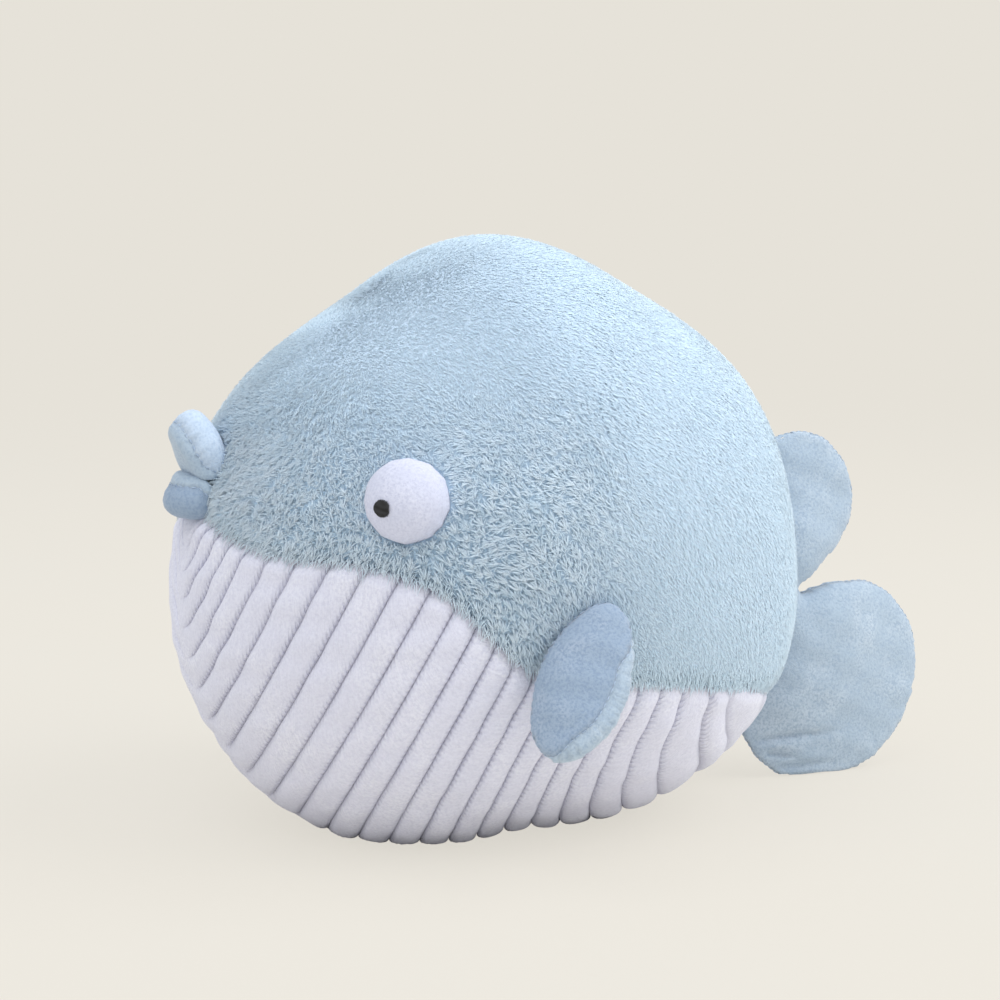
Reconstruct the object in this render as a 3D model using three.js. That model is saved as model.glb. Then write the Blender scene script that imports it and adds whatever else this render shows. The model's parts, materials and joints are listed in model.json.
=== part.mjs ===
// Stuffed round fish: furry upper cover, ribbed belly, padded lips, ball eyes, flapping fins and a tail.
// Sizes are in millimetres. The nose points along +X, the left side along +Y and up along +Z.
// The floor is at zero, under the middle of the body.
import * as THREE from 'three';

const { clamp, degToRad, euclideanModulo, lerp } = THREE.MathUtils;

// Gap left between pieces that touch or are sewn together.
const CLEARANCE = 0.3;
// Corners closer than this are one corner.
const WELD = 0.01;

// Body: reach from its middle in the side view, every 30 degrees from straight ahead up over the crown.
const REACH_AHEAD = 130;
const REACH_SNOUT = 120;
const REACH_BROW = 113;
const REACH_CROWN = 123;
const REACH_NAPE = 117;
const REACH_BACK = 124;
const REACH_BEHIND = 128;
const REACH_RUMP = 138;
const REACH_HEEL = 132;
const REACH_KEEL = 123;
const REACH_SOLE = 138;
const REACH_BREAST = 139;
const BODY_HALF_WIDTH = 121;
// How far the filled belly is pressed flat where it stands.
const SOLE_PRESS = 7;

// Covers: fur backing lies below its pile, and the belly cloth is quilted in ribs.
const PILE_STAND = 2;
const COVER_DEPTH = 5;
const RIB_PITCH = 13.3;
const RIB_DEPTH = 3;
const RIB_GROOVE_SHARE = 0.22;
// How strongly the ribs are drawn forward at the sides, and how sharply they turn at the keel.
const RIB_BOW_FRONT = 0.386;
const RIB_BOW_MIDDLE = 0.482;
const RIB_BOW_REAR = 1.948;
const RIB_BOW_START = 0.12;
// Seam between fur and belly: height above the body's middle, every 15 degrees from the mouth to the tail.
const SEAM_HEIGHTS = [19, 11.5, 6.5, 6, -4, -33, -41, -45, -50.5, -56, -62, -66.5, -69];
const COVER_ROWS = 6;
const BELLY_COLUMNS = [-1, -0.76, -0.52, -0.3, -0.12, 0.12, 0.3, 0.52, 0.76, 1];

// Pads: lips, fins and tail are two cloth panels sewn round the edge over filling.
const PAD_CLOTH = 1.5;
const PAD_ROWS = [0, 0.4, 0.7, 0.9, 1];
const SEAT_BAND = 4;
const SEAT_STEPS = 6;

const LIP_HALF_WIDTH = 15;
const LIP_HALF_THICKNESS = 7;
const LIP_EDGE_ROUNDING = 8;
const LIP_FOOT_HALF_WIDTH = 7.5;
const LIP_FULLNESS = 0.85;
const UPPER_LIP_LENGTH = 25;
const UPPER_LIP_ROOT_ANGLE = 16;
const UPPER_LIP_LEAN = 66;
const LOWER_LIP_LENGTH = 14;
const LOWER_LIP_ROOT_ANGLE = 10.5;
const LOWER_LIP_LEAN = 0;

const EYE_RADIUS = 16.8;
const EYE_BULGE = 15;
const EYE_STAND = 1.5;
const EYE_CLOTH = 1.5;
const EYE_AZIMUTH = 53;
const EYE_ELEVATION = 14.5;
const PUPIL_RADIUS = 3.8;
const PUPIL_THICKNESS = 0.8;
const PUPIL_FORWARD = 21.5;
const PUPIL_DOWN = 18;

const FIN_LENGTH = 64;
const FIN_HALF_WIDTH = 18;
const FIN_HALF_THICKNESS = 8.5;
const FIN_EDGE_ROUNDING = 13;
const FIN_TAPER = 0.08;
const FIN_AZIMUTH = 90;
const FIN_ELEVATION = -4;
const FIN_FORWARD_LEAN = 28;
const FIN_OUTWARD_LEAN = 14;
const FIN_ROOT_TURN = 14;
const FIN_TWIST = 26;

const TAIL_HALF_THICKNESS = 11;
const TAIL_EDGE_ROUNDING = 22;
const TAIL_HINGE_BACK = 6.5;
const TAIL_ROOT_ANGLE = 197;
const TAIL_NECK = 14;
// How far the front edge of the lower lobe runs forward under the body for each millimetre down.
const TAIL_UNDERCUT = 0.28;
const UPPER_LOBE_LENGTH = 77;
const UPPER_LOBE_ANGLE = 100;
const UPPER_LOBE_SPREAD = 52;
const LOWER_LOBE_LENGTH = 89;
const LOWER_LOBE_ANGLE = 233;
const LOWER_LOBE_SPREAD = 78;
const LOBE_FULLNESS = 0.55;

const LEFT = new THREE.Vector3(0, 1, 0);
const UP = new THREE.Vector3(0, 0, 1);
const REACHES = [
  REACH_AHEAD, REACH_SNOUT, REACH_BROW, REACH_CROWN, REACH_NAPE, REACH_BACK,
  REACH_BEHIND, REACH_RUMP, REACH_HEEL, REACH_KEEL, REACH_SOLE, REACH_BREAST,
];
const BODY_MIDDLE = new THREE.Vector3(0, 0, REACH_KEEL - SOLE_PRESS);

// Smooth curve through evenly spaced values; place counts in steps from the first.
function throughValues(pick, place) {
  const start = Math.floor(place);
  const t = place - start;
  const [before, from, to, after] = [pick(start - 1), pick(start), pick(start + 1), pick(start + 2)];
  const leave = (to - before) / 2;
  const arrive = (after - from) / 2;
  const cubic = 2 * from - 2 * to + leave + arrive;
  const square = -3 * from + 3 * to - 2 * leave - arrive;
  return ((cubic * t + square) * t + leave) * t + from;
}

function sideReach(angle) {
  const count = REACHES.length;
  return throughValues((i) => REACHES[euclideanModulo(i, count)], (angle / (2 * Math.PI)) * count);
}

// Distance from the body's middle to its outside along a unit direction: the side view swells to both sides.
function bodyReach(direction) {
  const inSideView = Math.hypot(direction.x, direction.z);
  const lengthwise = inSideView / sideReach(Math.atan2(direction.z, direction.x));
  return 1 / Math.hypot(lengthwise, direction.y / BODY_HALF_WIDTH);
}

function bodyPoint(direction, inset, floor = inset) {
  const point = BODY_MIDDLE.clone().addScaledVector(direction, bodyReach(direction) - inset);
  point.z = Math.max(point.z, floor);
  return point;
}

const mirrorPoint = (point) => point.clone().setY(-point.y);

// Unit direction from an angle round the vertical, nose to left, and an angle above the level.
function aim(azimuth, elevation) {
  const level = Math.cos(elevation);
  return new THREE.Vector3(level * Math.cos(azimuth), level * Math.sin(azimuth), Math.sin(elevation));
}

// Halving search for the place where a rising test turns true.
function solve(low, high, passed) {
  let [from, to] = [low, high];
  for (let step = 0; step < 26; step += 1) {
    const middle = (from + to) / 2;
    if (passed(middle)) {
      to = middle;
    } else {
      from = middle;
    }
  }
  return (from + to) / 2;
}

function seamHeight(azimuth) {
  const last = SEAM_HEIGHTS.length - 1;
  const pick = (i) => SEAM_HEIGHTS[last - Math.abs(last - Math.abs(i))];
  return throughValues(pick, (azimuth / Math.PI) * last);
}

function seamDirection(azimuth) {
  const height = seamHeight(azimuth);
  const elevation = solve(-1.2, 1.2, (angle) => {
    const direction = aim(azimuth, angle);
    return bodyReach(direction) * direction.z > height;
  });
  return aim(azimuth, elevation);
}

// Ribs run round the line from the tail end of the seam through the body's middle. At the sides they are
// drawn towards the mouth, most of all near the tail, where they still close in one point.
const RIB_AXIS = seamDirection(Math.PI).setY(0).normalize().negate();
const RIB_DOWN = new THREE.Vector3(RIB_AXIS.z, 0, -RIB_AXIS.x);

function ribLevel(direction) {
  const along = direction.dot(RIB_AXIS);
  const rear = (1 - along) / 2;
  const ends = RIB_BOW_FRONT * (1 - rear) * (1 - 2 * rear) + RIB_BOW_REAR * rear * (2 * rear - 1);
  const bow = ends + RIB_BOW_MIDDLE * 4 * rear * (1 - rear);
  const aside = Math.hypot(direction.y, RIB_BOW_START) - RIB_BOW_START;
  return Math.acos(clamp(along - (1 + along) * bow * aside, -1, 1));
}

// Direction on one rib line, turned round the rib axis from the keel.
function ribDirection(level, turn) {
  const outward = RIB_DOWN.clone().multiplyScalar(Math.cos(turn)).addScaledVector(LEFT, Math.sin(turn));
  const at = (angle) => {
    const ahead = RIB_AXIS.clone().multiplyScalar(Math.cos(angle));
    return ahead.addScaledVector(outward, Math.sin(angle));
  };
  return at(solve(0, Math.PI, (angle) => ribLevel(at(angle)) > level));
}

// Stations along the left seam, one at each groove between ribs, from the mouth to the tail.
const FIRST_LEVEL = ribLevel(seamDirection(0));
const RIB_COUNT = Math.round(((Math.PI - FIRST_LEVEL) * (REACH_KEEL + REACH_SOLE)) / 2 / RIB_PITCH);
const stations = Array.from({ length: RIB_COUNT + 1 }, (_, k) => {
  const level = lerp(FIRST_LEVEL, Math.PI, k / RIB_COUNT);
  if (k === 0) {
    return { level, direction: seamDirection(0) };
  }
  if (k === RIB_COUNT) {
    return { level, direction: RIB_AXIS.clone().negate() };
  }
  const azimuth = solve(0, Math.PI, (angle) => ribLevel(seamDirection(angle)) > level);
  return { level, direction: seamDirection(azimuth) };
});

// Directions of one belly row from the right seam to the left; place counts ribs from the mouth.
function bellyRow(place) {
  const from = stations[Math.floor(place)];
  const to = stations[Math.ceil(place)];
  const share = place - Math.floor(place);
  const edge = from.direction.clone().lerp(to.direction, share).normalize();
  const turn = Math.atan2(edge.dot(LEFT), edge.dot(RIB_DOWN));
  const level = lerp(from.level, to.level, share);
  const atEnd = place === 0 || place === RIB_COUNT;
  return BELLY_COLUMNS.map((column) => {
    if (atEnd || column === 1) {
      return edge;
    }
    return column === -1 ? mirrorPoint(edge) : ribDirection(level, column * turn);
  });
}

// Directions of one upper row on the left, from the seam up to the back, at one station.
function upperRow(k) {
  const mouth = stations[0].direction;
  const tail = stations[RIB_COUNT].direction;
  const start = Math.atan2(mouth.z, mouth.x);
  const end = Math.atan2(tail.z, tail.x) + 2 * Math.PI;
  const angle = lerp(start, end, k / RIB_COUNT);
  const back = new THREE.Vector3(Math.cos(angle), 0, Math.sin(angle));
  const seam = stations[k].direction;
  const turn = new THREE.Quaternion().setFromUnitVectors(seam, back);
  return Array.from({ length: COVER_ROWS + 1 }, (_, row) => {
    const part = new THREE.Quaternion().slerp(turn, row / COVER_ROWS);
    return seam.clone().applyQuaternion(part);
  });
}

// Triangles between two borders of points, which may differ in count.
function zip(first, second) {
  const triangles = [];
  let i = 0;
  let j = 0;
  while (i < first.length - 1 || j < second.length - 1) {
    if ((i + 1) / (first.length - 1) <= (j + 1) / (second.length - 1)) {
      triangles.push([first[i], first[i + 1], second[j]]);
      i += 1;
    } else {
      triangles.push([first[i], second[j + 1], second[j]]);
      j += 1;
    }
  }
  return triangles;
}

const patch = (grid) => grid.slice(1).flatMap((row, r) => zip(grid[r], row));
const flip = (triangles) => triangles.map(([a, b, c]) => [a, c, b]);
const mirror = (triangles) => triangles.map((corners) => corners.map(mirrorPoint));
const columnOf = (grid, c) => grid.map((row) => row.at(c));

// Cloth between an outer and an inner grid, closed along its borders.
// A grid that meets itself has no side borders.
function shell(outer, inner, meetsItself = false) {
  const ends = [zip(inner[0], outer[0]), zip(outer.at(-1), inner.at(-1))];
  const sides = [zip(columnOf(outer, 0), columnOf(inner, 0)), zip(columnOf(inner, -1), columnOf(outer, -1))];
  return [patch(outer), flip(patch(inner)), ...ends, ...(meetsItself ? [] : sides)].flat();
}

// Geometry from triangles: equal corners are joined, collapsed triangles dropped and the faces turned out.
function closedGeometry(triangles) {
  const places = new Map();
  const positions = [];
  const corner = (point) => {
    const key = point.toArray().map((value) => Math.round(value / WELD)).join();
    if (!places.has(key)) {
      places.set(key, positions.length);
      positions.push(point);
    }
    return places.get(key);
  };
  const faces = triangles.map((points) => points.map(corner)).filter((face) => new Set(face).size === 3);
  const volume = faces.reduce((sum, [a, b, c]) => {
    return sum + positions[a].dot(new THREE.Vector3().crossVectors(positions[b], positions[c]));
  }, 0);
  const index = volume > 0 ? faces : flip(faces);
  const geometry = new THREE.BufferGeometry().setFromPoints(positions);
  geometry.setIndex(index.flat());
  geometry.computeVertexNormals();
  return geometry;
}

// Moves a border point into its own piece by half the clearance, to leave the seam's gap.
function drawIn(edge, inside) {
  const across = inside.clone().sub(edge);
  return edge.clone().addScaledVector(across.normalize(), CLEARANCE / 2);
}

function bellyGrid(places, insetAt, floor) {
  const grid = places.map((place) => bellyRow(place).map((d) => bodyPoint(d, insetAt(place), floor)));
  return grid.map((row, r) => {
    if (r === 0 || r === grid.length - 1) {
      const next = grid[r === 0 ? 1 : r - 1][Math.floor(row.length / 2)];
      return row.map((point) => drawIn(point, next));
    }
    const first = drawIn(row[0], row[1]);
    const last = drawIn(row.at(-1), row.at(-2));
    return [first, ...row.slice(1, -1), last];
  });
}

function upperGrid(inset) {
  const grid = stations.map((_, k) => upperRow(k).map((d) => bodyPoint(d, inset)));
  return grid.map((row, k) => {
    if (k === 0 || k === RIB_COUNT) {
      const next = grid[k === 0 ? 1 : k - 1][Math.floor(row.length / 2)];
      return row.map((point) => {
        const inside = next.clone().sub(point).normalize();
        return point.clone().addScaledVector(inside, 2 * CLEARANCE);
      });
    }
    const ridge = row.at(-1).clone().setY(CLEARANCE / 2);
    return [drawIn(row[0], row[1]), ...row.slice(1, -1), ridge];
  });
}

const ribPlaces = stations.flatMap((_, k) => {
  return k < RIB_COUNT ? [k, k + RIB_GROOVE_SHARE, k + 1 - RIB_GROOVE_SHARE] : [k];
});
const groovePlaces = stations.map((_, k) => k);
const ribInset = (place) => (Number.isInteger(place) ? RIB_DEPTH : 0);

function bellyCover() {
  return shell(bellyGrid(ribPlaces, ribInset, 0), bellyGrid(groovePlaces, () => COVER_DEPTH, COVER_DEPTH));
}

function upperCover() {
  return shell(upperGrid(PILE_STAND), upperGrid(COVER_DEPTH));
}

function bodyStuffing() {
  const inset = COVER_DEPTH + CLEARANCE;
  const under = groovePlaces.map((k) => bellyRow(k).map((d) => bodyPoint(d, inset)));
  const over = stations.map((_, k) => upperRow(k).map((d) => bodyPoint(d, inset)));
  over.forEach((row) => row.at(-1).setY(0));
  under.forEach((row, k) => {
    row[row.length - 1] = over[k][0];
    row[0] = mirrorPoint(over[k][0]);
  });
  const left = patch(over);
  return [...patch(under), ...left, ...flip(mirror(left))];
}

// Height of a pad's outside above its middle plane at a distance from its sewn edge.
function padHeight(pad, distance) {
  const share = 1 - Math.min(distance / pad.rounding, 1);
  return pad.halfThickness * Math.sqrt(1 - share * share);
}

function edgeDistance(outline, point) {
  const nearest = new THREE.Vector3();
  const spot = new THREE.Vector3(point.x, point.y, 0);
  const gaps = outline.map((corner, i) => {
    const next = outline[(i + 1) % outline.length];
    const start = new THREE.Vector3(corner.x, corner.y, 0);
    const end = new THREE.Vector3(next.x, next.y, 0);
    const side = new THREE.Line3(start, end);
    return side.closestPointToPoint(spot, true, nearest).distanceTo(spot);
  });
  return Math.min(...gaps);
}

// Grid of a pad from its middle to its edge, each point lifted off the middle plane by its height.
function padGrid(pad, rows, lift) {
  const around = [...pad.outline, pad.outline[0]];
  return rows.map((share) => around.map((corner) => {
    const spot = pad.middle.clone().lerp(corner, share);
    return new THREE.Vector3(spot.x, spot.y, lift(padHeight(pad, edgeDistance(pad.outline, spot)), share));
  }));
}

const placed = (triangles, place) => triangles.map((corners) => corners.map((point) => place(point)));
const underside = (grid) => grid.map((row) => row.map((point) => point.clone().setZ(-point.z)));

function padPanel(pad, side) {
  const outer = padGrid(pad, PAD_ROWS, (height) => CLEARANCE / 2 + height);
  const inner = padGrid(pad, PAD_ROWS, (height) => CLEARANCE / 2 + Math.max(height - PAD_CLOTH, 0));
  const turned = side > 0 ? [outer, inner] : [underside(outer), underside(inner)];
  return placed(shell(...turned, true), pad.place);
}

function padStuffing(pad) {
  const rows = PAD_ROWS.slice(0, -1);
  const edge = rows.at(-1);
  const top = padGrid(pad, rows, (height, share) => (share < edge ? height - PAD_CLOTH - CLEARANCE : 0));
  return placed([...patch(top), ...flip(patch(underside(top)))], pad.place);
}

// Distance from the body's middle to the outside of its cloth.
// A ray through a seam's gap takes the fur's backing.
function clothReach(direction) {
  const far = 2 * bodyReach(direction);
  const start = BODY_MIDDLE.clone().addScaledVector(direction, far);
  const hits = new THREE.Raycaster(start, direction.clone().negate(), 0, far).intersectObjects(covers);
  return hits.length > 0 ? far - hits[0].distance : bodyReach(direction) - PILE_STAND;
}

// Shift along a direction that just clears a pad from the covers, tested at its corners and between them.
// Only the part of the pad that lies lowest over the body can touch it.
function seatShift(pad, direction) {
  const shares = Array.from({ length: SEAT_STEPS }, (_, i) => i / SEAT_STEPS);
  const outline = pad.outline.flatMap((corner, i) => {
    const next = pad.outline[(i + 1) % pad.outline.length];
    return shares.map((share) => corner.clone().lerp(next, share));
  });
  const rows = PAD_ROWS.slice(1).flatMap((row, i) => shares.map((share) => lerp(row, PAD_ROWS[i], share)));
  const faces = [1, -1].flatMap((side) => {
    return padGrid({ ...pad, outline }, rows, (height) => side * (height + CLEARANCE / 2));
  });
  const above = (corner) => {
    const from = corner.clone().sub(BODY_MIDDLE);
    return from.length() - bodyReach(from.normalize());
  };
  const placedCorners = faces.flat().map(pad.place);
  const lowest = Math.min(...placedCorners.map(above));
  const corners = placedCorners.filter((corner) => above(corner) < lowest + SEAT_BAND);
  return solve(-BODY_HALF_WIDTH, BODY_HALF_WIDTH, (shift) => corners.every((corner) => {
    const from = corner.clone().addScaledVector(direction, shift).sub(BODY_MIDDLE);
    const reach = from.length();
    return reach > clothReach(from.normalize()) + CLEARANCE;
  }));
}

function seated(pad, direction) {
  const shift = seatShift(pad, direction);
  return { ...pad, place: (point) => pad.place(point).addScaledVector(direction, shift) };
}

// Half-moon pad that wraps the snout: across is along Y, and it leans up from straight ahead.
function lip(length, rootAngle, lean) {
  const arc = Array.from({ length: 9 }, (_, i) => {
    const angle = (Math.PI * i) / 8;
    return new THREE.Vector2(LIP_HALF_WIDTH * Math.cos(angle), length * Math.sin(angle) ** LIP_FULLNESS);
  });
  const foot = [-1, 1].map((side) => new THREE.Vector2(side * LIP_FOOT_HALF_WIDTH, 0));
  const outward = aim(0, rootAngle);
  const root = outward.clone().multiplyScalar(bodyReach(outward));
  const along = aim(0, lean);
  const behind = new THREE.Vector3().crossVectors(LEFT, along).negate();
  const place = (point) => {
    const wrap = Math.sqrt(1 - (point.x / BODY_HALF_WIDTH) ** 2);
    const spot = BODY_MIDDLE.clone().addScaledVector(root, wrap).addScaledVector(LEFT, point.x);
    return spot.addScaledVector(along, point.y).addScaledVector(behind, point.z);
  };
  const pad = {
    outline: [...arc, ...foot],
    middle: new THREE.Vector2(0, length / 2),
    halfThickness: LIP_HALF_THICKNESS,
    rounding: LIP_EDGE_ROUNDING,
    place,
  };
  return seated(pad, outward);
}

// Oval paddle hung from its top edge on the left side, turned so that its rear edge stands off.
function leftFin() {
  const outline = Array.from({ length: 14 }, (_, i) => {
    const angle = (2 * Math.PI * i) / 14;
    const taper = 1 + FIN_TAPER * Math.cos(angle);
    const across = FIN_HALF_WIDTH * taper * Math.sin(angle);
    return new THREE.Vector2(across, (FIN_LENGTH / 2) * (1 + Math.cos(angle)));
  });
  const outward = aim(degToRad(FIN_AZIMUTH), degToRad(FIN_ELEVATION));
  const root = bodyPoint(outward, PILE_STAND);
  const level = outward.clone().setZ(0).normalize();
  const ahead = new THREE.Vector3().crossVectors(level, UP);
  const down = UP.clone().negate().applyAxisAngle(level, degToRad(-FIN_FORWARD_LEAN));
  const along = down.applyAxisAngle(ahead, degToRad(FIN_OUTWARD_LEAN));
  const across = ahead.clone().addScaledVector(along, -ahead.dot(along)).normalize();
  const place = (point) => {
    const turn = degToRad(FIN_ROOT_TURN + (FIN_TWIST * point.y) / FIN_LENGTH);
    const forward = across.clone().applyAxisAngle(along, turn);
    const face = new THREE.Vector3().crossVectors(along, forward).negate();
    const spot = root.clone().addScaledVector(along, point.y);
    return spot.addScaledVector(forward, point.x).addScaledVector(face, point.z);
  };
  const pad = {
    outline,
    middle: new THREE.Vector2(0, FIN_LENGTH / 2),
    halfThickness: FIN_HALF_THICKNESS,
    rounding: FIN_EDGE_ROUNDING,
    place,
    axis: across.clone().applyAxisAngle(along, degToRad(FIN_ROOT_TURN)),
  };
  return seated(pad, level);
}

// Angles of one lobe's edge, closer together where it leaves the root.
function lobeAngles(angle, spread, steps) {
  return Array.from({ length: 2 * steps + 1 }, (_, i) => {
    return degToRad(angle + spread * Math.sin((Math.PI / 2) * (i / steps - 1)));
  });
}

function lobeReach(length, angle, spread, at) {
  const off = Math.abs(euclideanModulo(at - degToRad(angle) + Math.PI, 2 * Math.PI) - Math.PI);
  return length * Math.max(Math.cos(Math.min(off / degToRad(spread), 1) * (Math.PI / 2)), 0) ** LOBE_FULLNESS;
}

// Two-lobed tail in the middle plane. Its front edge is straight down to the root and then runs forward under
// the body, and its lower lobe is flat on the floor.
function tailPad() {
  const outward = aim(Math.PI, degToRad(180 - TAIL_ROOT_ANGLE));
  const rootHeight = bodyPoint(outward, 0).z;
  const ridge = stations.map((_, k) => bodyPoint(upperRow(k).at(-1), PILE_STAND));
  const rearmost = Math.min(...ridge.map((point) => point.x));
  const hinge = new THREE.Vector2(rearmost - TAIL_HINGE_BACK, rootHeight);
  const front = rearmost - CLEARANCE;
  const angles = [
    ...lobeAngles(UPPER_LOBE_ANGLE, UPPER_LOBE_SPREAD, 5),
    ...lobeAngles(LOWER_LOBE_ANGLE, LOWER_LOBE_SPREAD, 8),
  ];
  const outline = angles.map((angle) => {
    const upper = lobeReach(UPPER_LOBE_LENGTH, UPPER_LOBE_ANGLE, UPPER_LOBE_SPREAD, angle);
    const lower = lobeReach(LOWER_LOBE_LENGTH, LOWER_LOBE_ANGLE, LOWER_LOBE_SPREAD, angle);
    const reach = Math.max(TAIL_NECK, upper, lower);
    const height = Math.max(hinge.y + reach * Math.sin(angle), 0);
    const under = Math.max(hinge.y - TAIL_NECK - height, 0) * TAIL_UNDERCUT;
    return new THREE.Vector2(Math.min(hinge.x + reach * Math.cos(angle), front + under), height);
  });
  return {
    outline,
    middle: hinge,
    halfThickness: TAIL_HALF_THICKNESS,
    rounding: TAIL_EDGE_ROUNDING,
    place: (point) => new THREE.Vector3(point.x, point.z, point.y),
  };
}

// Eye: a filled ball of cloth gathered onto the fur, open towards the body.
const EYE_AXIS = aim(degToRad(EYE_AZIMUTH), degToRad(EYE_ELEVATION));
const EYE_MIDDLE = bodyPoint(EYE_AXIS, PILE_STAND - EYE_STAND);
const EYE_FORWARD = new THREE.Vector3().crossVectors(EYE_AXIS, UP).normalize();
const EYE_UP = new THREE.Vector3().crossVectors(EYE_FORWARD, EYE_AXIS);
const EYE_BANDS = [0, 22, 44, 66, 86, 104];
const EYE_STEPS = 12;

function eyeGrid(inset) {
  return EYE_BANDS.map((band, row) => Array.from({ length: EYE_STEPS + 1 }, (_, step) => {
    const around = (2 * Math.PI * (step % EYE_STEPS)) / EYE_STEPS;
    const angle = degToRad(band);
    const side = (EYE_RADIUS - inset) * Math.sin(angle);
    const point = EYE_MIDDLE.clone().addScaledVector(EYE_AXIS, (EYE_BULGE - inset) * Math.cos(angle));
    point.addScaledVector(EYE_FORWARD, side * Math.cos(around));
    point.addScaledVector(EYE_UP, side * Math.sin(around));
    const onBody = row === EYE_BANDS.length - 1;
    return onBody ? bodyPoint(point.sub(BODY_MIDDLE).normalize(), PILE_STAND - CLEARANCE) : point;
  }));
}

function eyeStuffing() {
  const dome = eyeGrid(EYE_CLOTH + CLEARANCE);
  const base = bodyPoint(EYE_AXIS, PILE_STAND - 2 * CLEARANCE);
  return [...patch(dome), ...zip(dome.at(-1), dome.at(-1).map(() => base))];
}

function pupil() {
  const look = EYE_AXIS.clone().applyAxisAngle(EYE_UP, degToRad(-PUPIL_FORWARD));
  look.applyAxisAngle(EYE_FORWARD, degToRad(-PUPIL_DOWN));
  const across = new THREE.Vector3().crossVectors(UP, look).normalize();
  const above = new THREE.Vector3().crossVectors(look, across);
  const grid = (lift) => [0, 0.6, 1].map((share) => Array.from({ length: 11 }, (_, step) => {
    const around = (2 * Math.PI * (step % 10)) / 10;
    const direction = look.clone().multiplyScalar(EYE_RADIUS);
    direction.addScaledVector(across, share * PUPIL_RADIUS * Math.cos(around));
    direction.addScaledVector(above, share * PUPIL_RADIUS * Math.sin(around)).normalize();
    const depth = direction.dot(EYE_AXIS);
    const reach = 1 / Math.hypot(depth / EYE_BULGE, Math.sqrt(1 - depth * depth) / EYE_RADIUS);
    return EYE_MIDDLE.clone().addScaledVector(direction, reach + lift);
  }));
  return shell(grid(CLEARANCE + PUPIL_THICKNESS), grid(CLEARANCE), true);
}

const cloth = (color, roughness) => new THREE.MeshStandardMaterial({ color, roughness, metalness: 0 });
const FUR = { color: '#b9d2e5', roughness: 0.95 };
const RIBBED = { color: '#e3e2ef', roughness: 0.9 };
const PLUSH = { color: '#b4c7db', roughness: 0.9 };
const WHITE = { color: '#e6e8f2', roughness: 0.9 };
const THREAD = { color: '#242628', roughness: 0.6 };
const FILLING = { color: '#f3f1ec', roughness: 1 };

const fish = new THREE.Group();
fish.name = 'stuffed_fish';

function add(name, triangles, look) {
  const mesh = new THREE.Mesh(closedGeometry(triangles), cloth(look.color, look.roughness));
  mesh.name = name;
  fish.add(mesh);
}

function addPair(name, triangles, look) {
  add(`left_${name}`, triangles, look);
  add(`right_${name}`, mirror(triangles), look);
}

addPair('upper_cover', upperCover(), FUR);
add('belly_cover', bellyCover(), RIBBED);
const covers = [...fish.children];
add('body_stuffing', bodyStuffing(), FILLING);

const upperLip = lip(UPPER_LIP_LENGTH, degToRad(UPPER_LIP_ROOT_ANGLE), degToRad(UPPER_LIP_LEAN));
add('upper_lip_back_panel', padPanel(upperLip, 1), PLUSH);
add('upper_lip_front_panel', padPanel(upperLip, -1), PLUSH);
add('upper_lip_stuffing', padStuffing(upperLip), FILLING);

const lowerLip = lip(LOWER_LIP_LENGTH, degToRad(LOWER_LIP_ROOT_ANGLE), degToRad(LOWER_LIP_LEAN));
add('lower_lip_top_panel', padPanel(lowerLip, 1), PLUSH);
add('lower_lip_bottom_panel', padPanel(lowerLip, -1), PLUSH);
add('lower_lip_stuffing', padStuffing(lowerLip), FILLING);

addPair('eye_cover', shell(eyeGrid(0), eyeGrid(EYE_CLOTH), true), WHITE);
addPair('eye_stuffing', eyeStuffing(), FILLING);
addPair('pupil', pupil(), THREAD);

const fin = leftFin();
addPair('fin_front_panel', padPanel(fin, 1), PLUSH);
addPair('fin_back_panel', padPanel(fin, -1), PLUSH);
addPair('fin_stuffing', padStuffing(fin), FILLING);

const tail = tailPad();
add('tail_left_panel', padPanel(tail, 1), PLUSH);
add('tail_right_panel', padPanel(tail, -1), PLUSH);
add('tail_stuffing', padStuffing(tail), FILLING);

const shown = (vector) => vector.toArray().map((value) => Number(value.toFixed(4))).join(', ');
console.log('ribs', RIB_COUNT, 'body middle', shown(BODY_MIDDLE));
console.log('left fin hinge', shown(fin.place(new THREE.Vector3(0, 0, 0))), 'axis', shown(fin.axis));
console.log('tail hinge', shown(tail.middle));

export default fish;
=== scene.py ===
# %% [markdown]
# # A stuffed round fish
#
# The real thing is a soft toy: a big filled ball with long blue fur over the top
# and white ribbed cloth underneath. Padded lips, ball eyes, two side fins and a
# forked tail are sewn onto it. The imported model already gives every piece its
# place and size, so this lesson dresses that frame: each soft solid is replaced
# by cloth, thread or fur of the same form.

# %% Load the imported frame
import json
import math

import bpy
import numpy as np
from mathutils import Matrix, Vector
from mathutils.bvhtree import BVHTree
from mathutils.geometry import delaunay_2d_cdt
from mathutils.kdtree import KDTree


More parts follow.
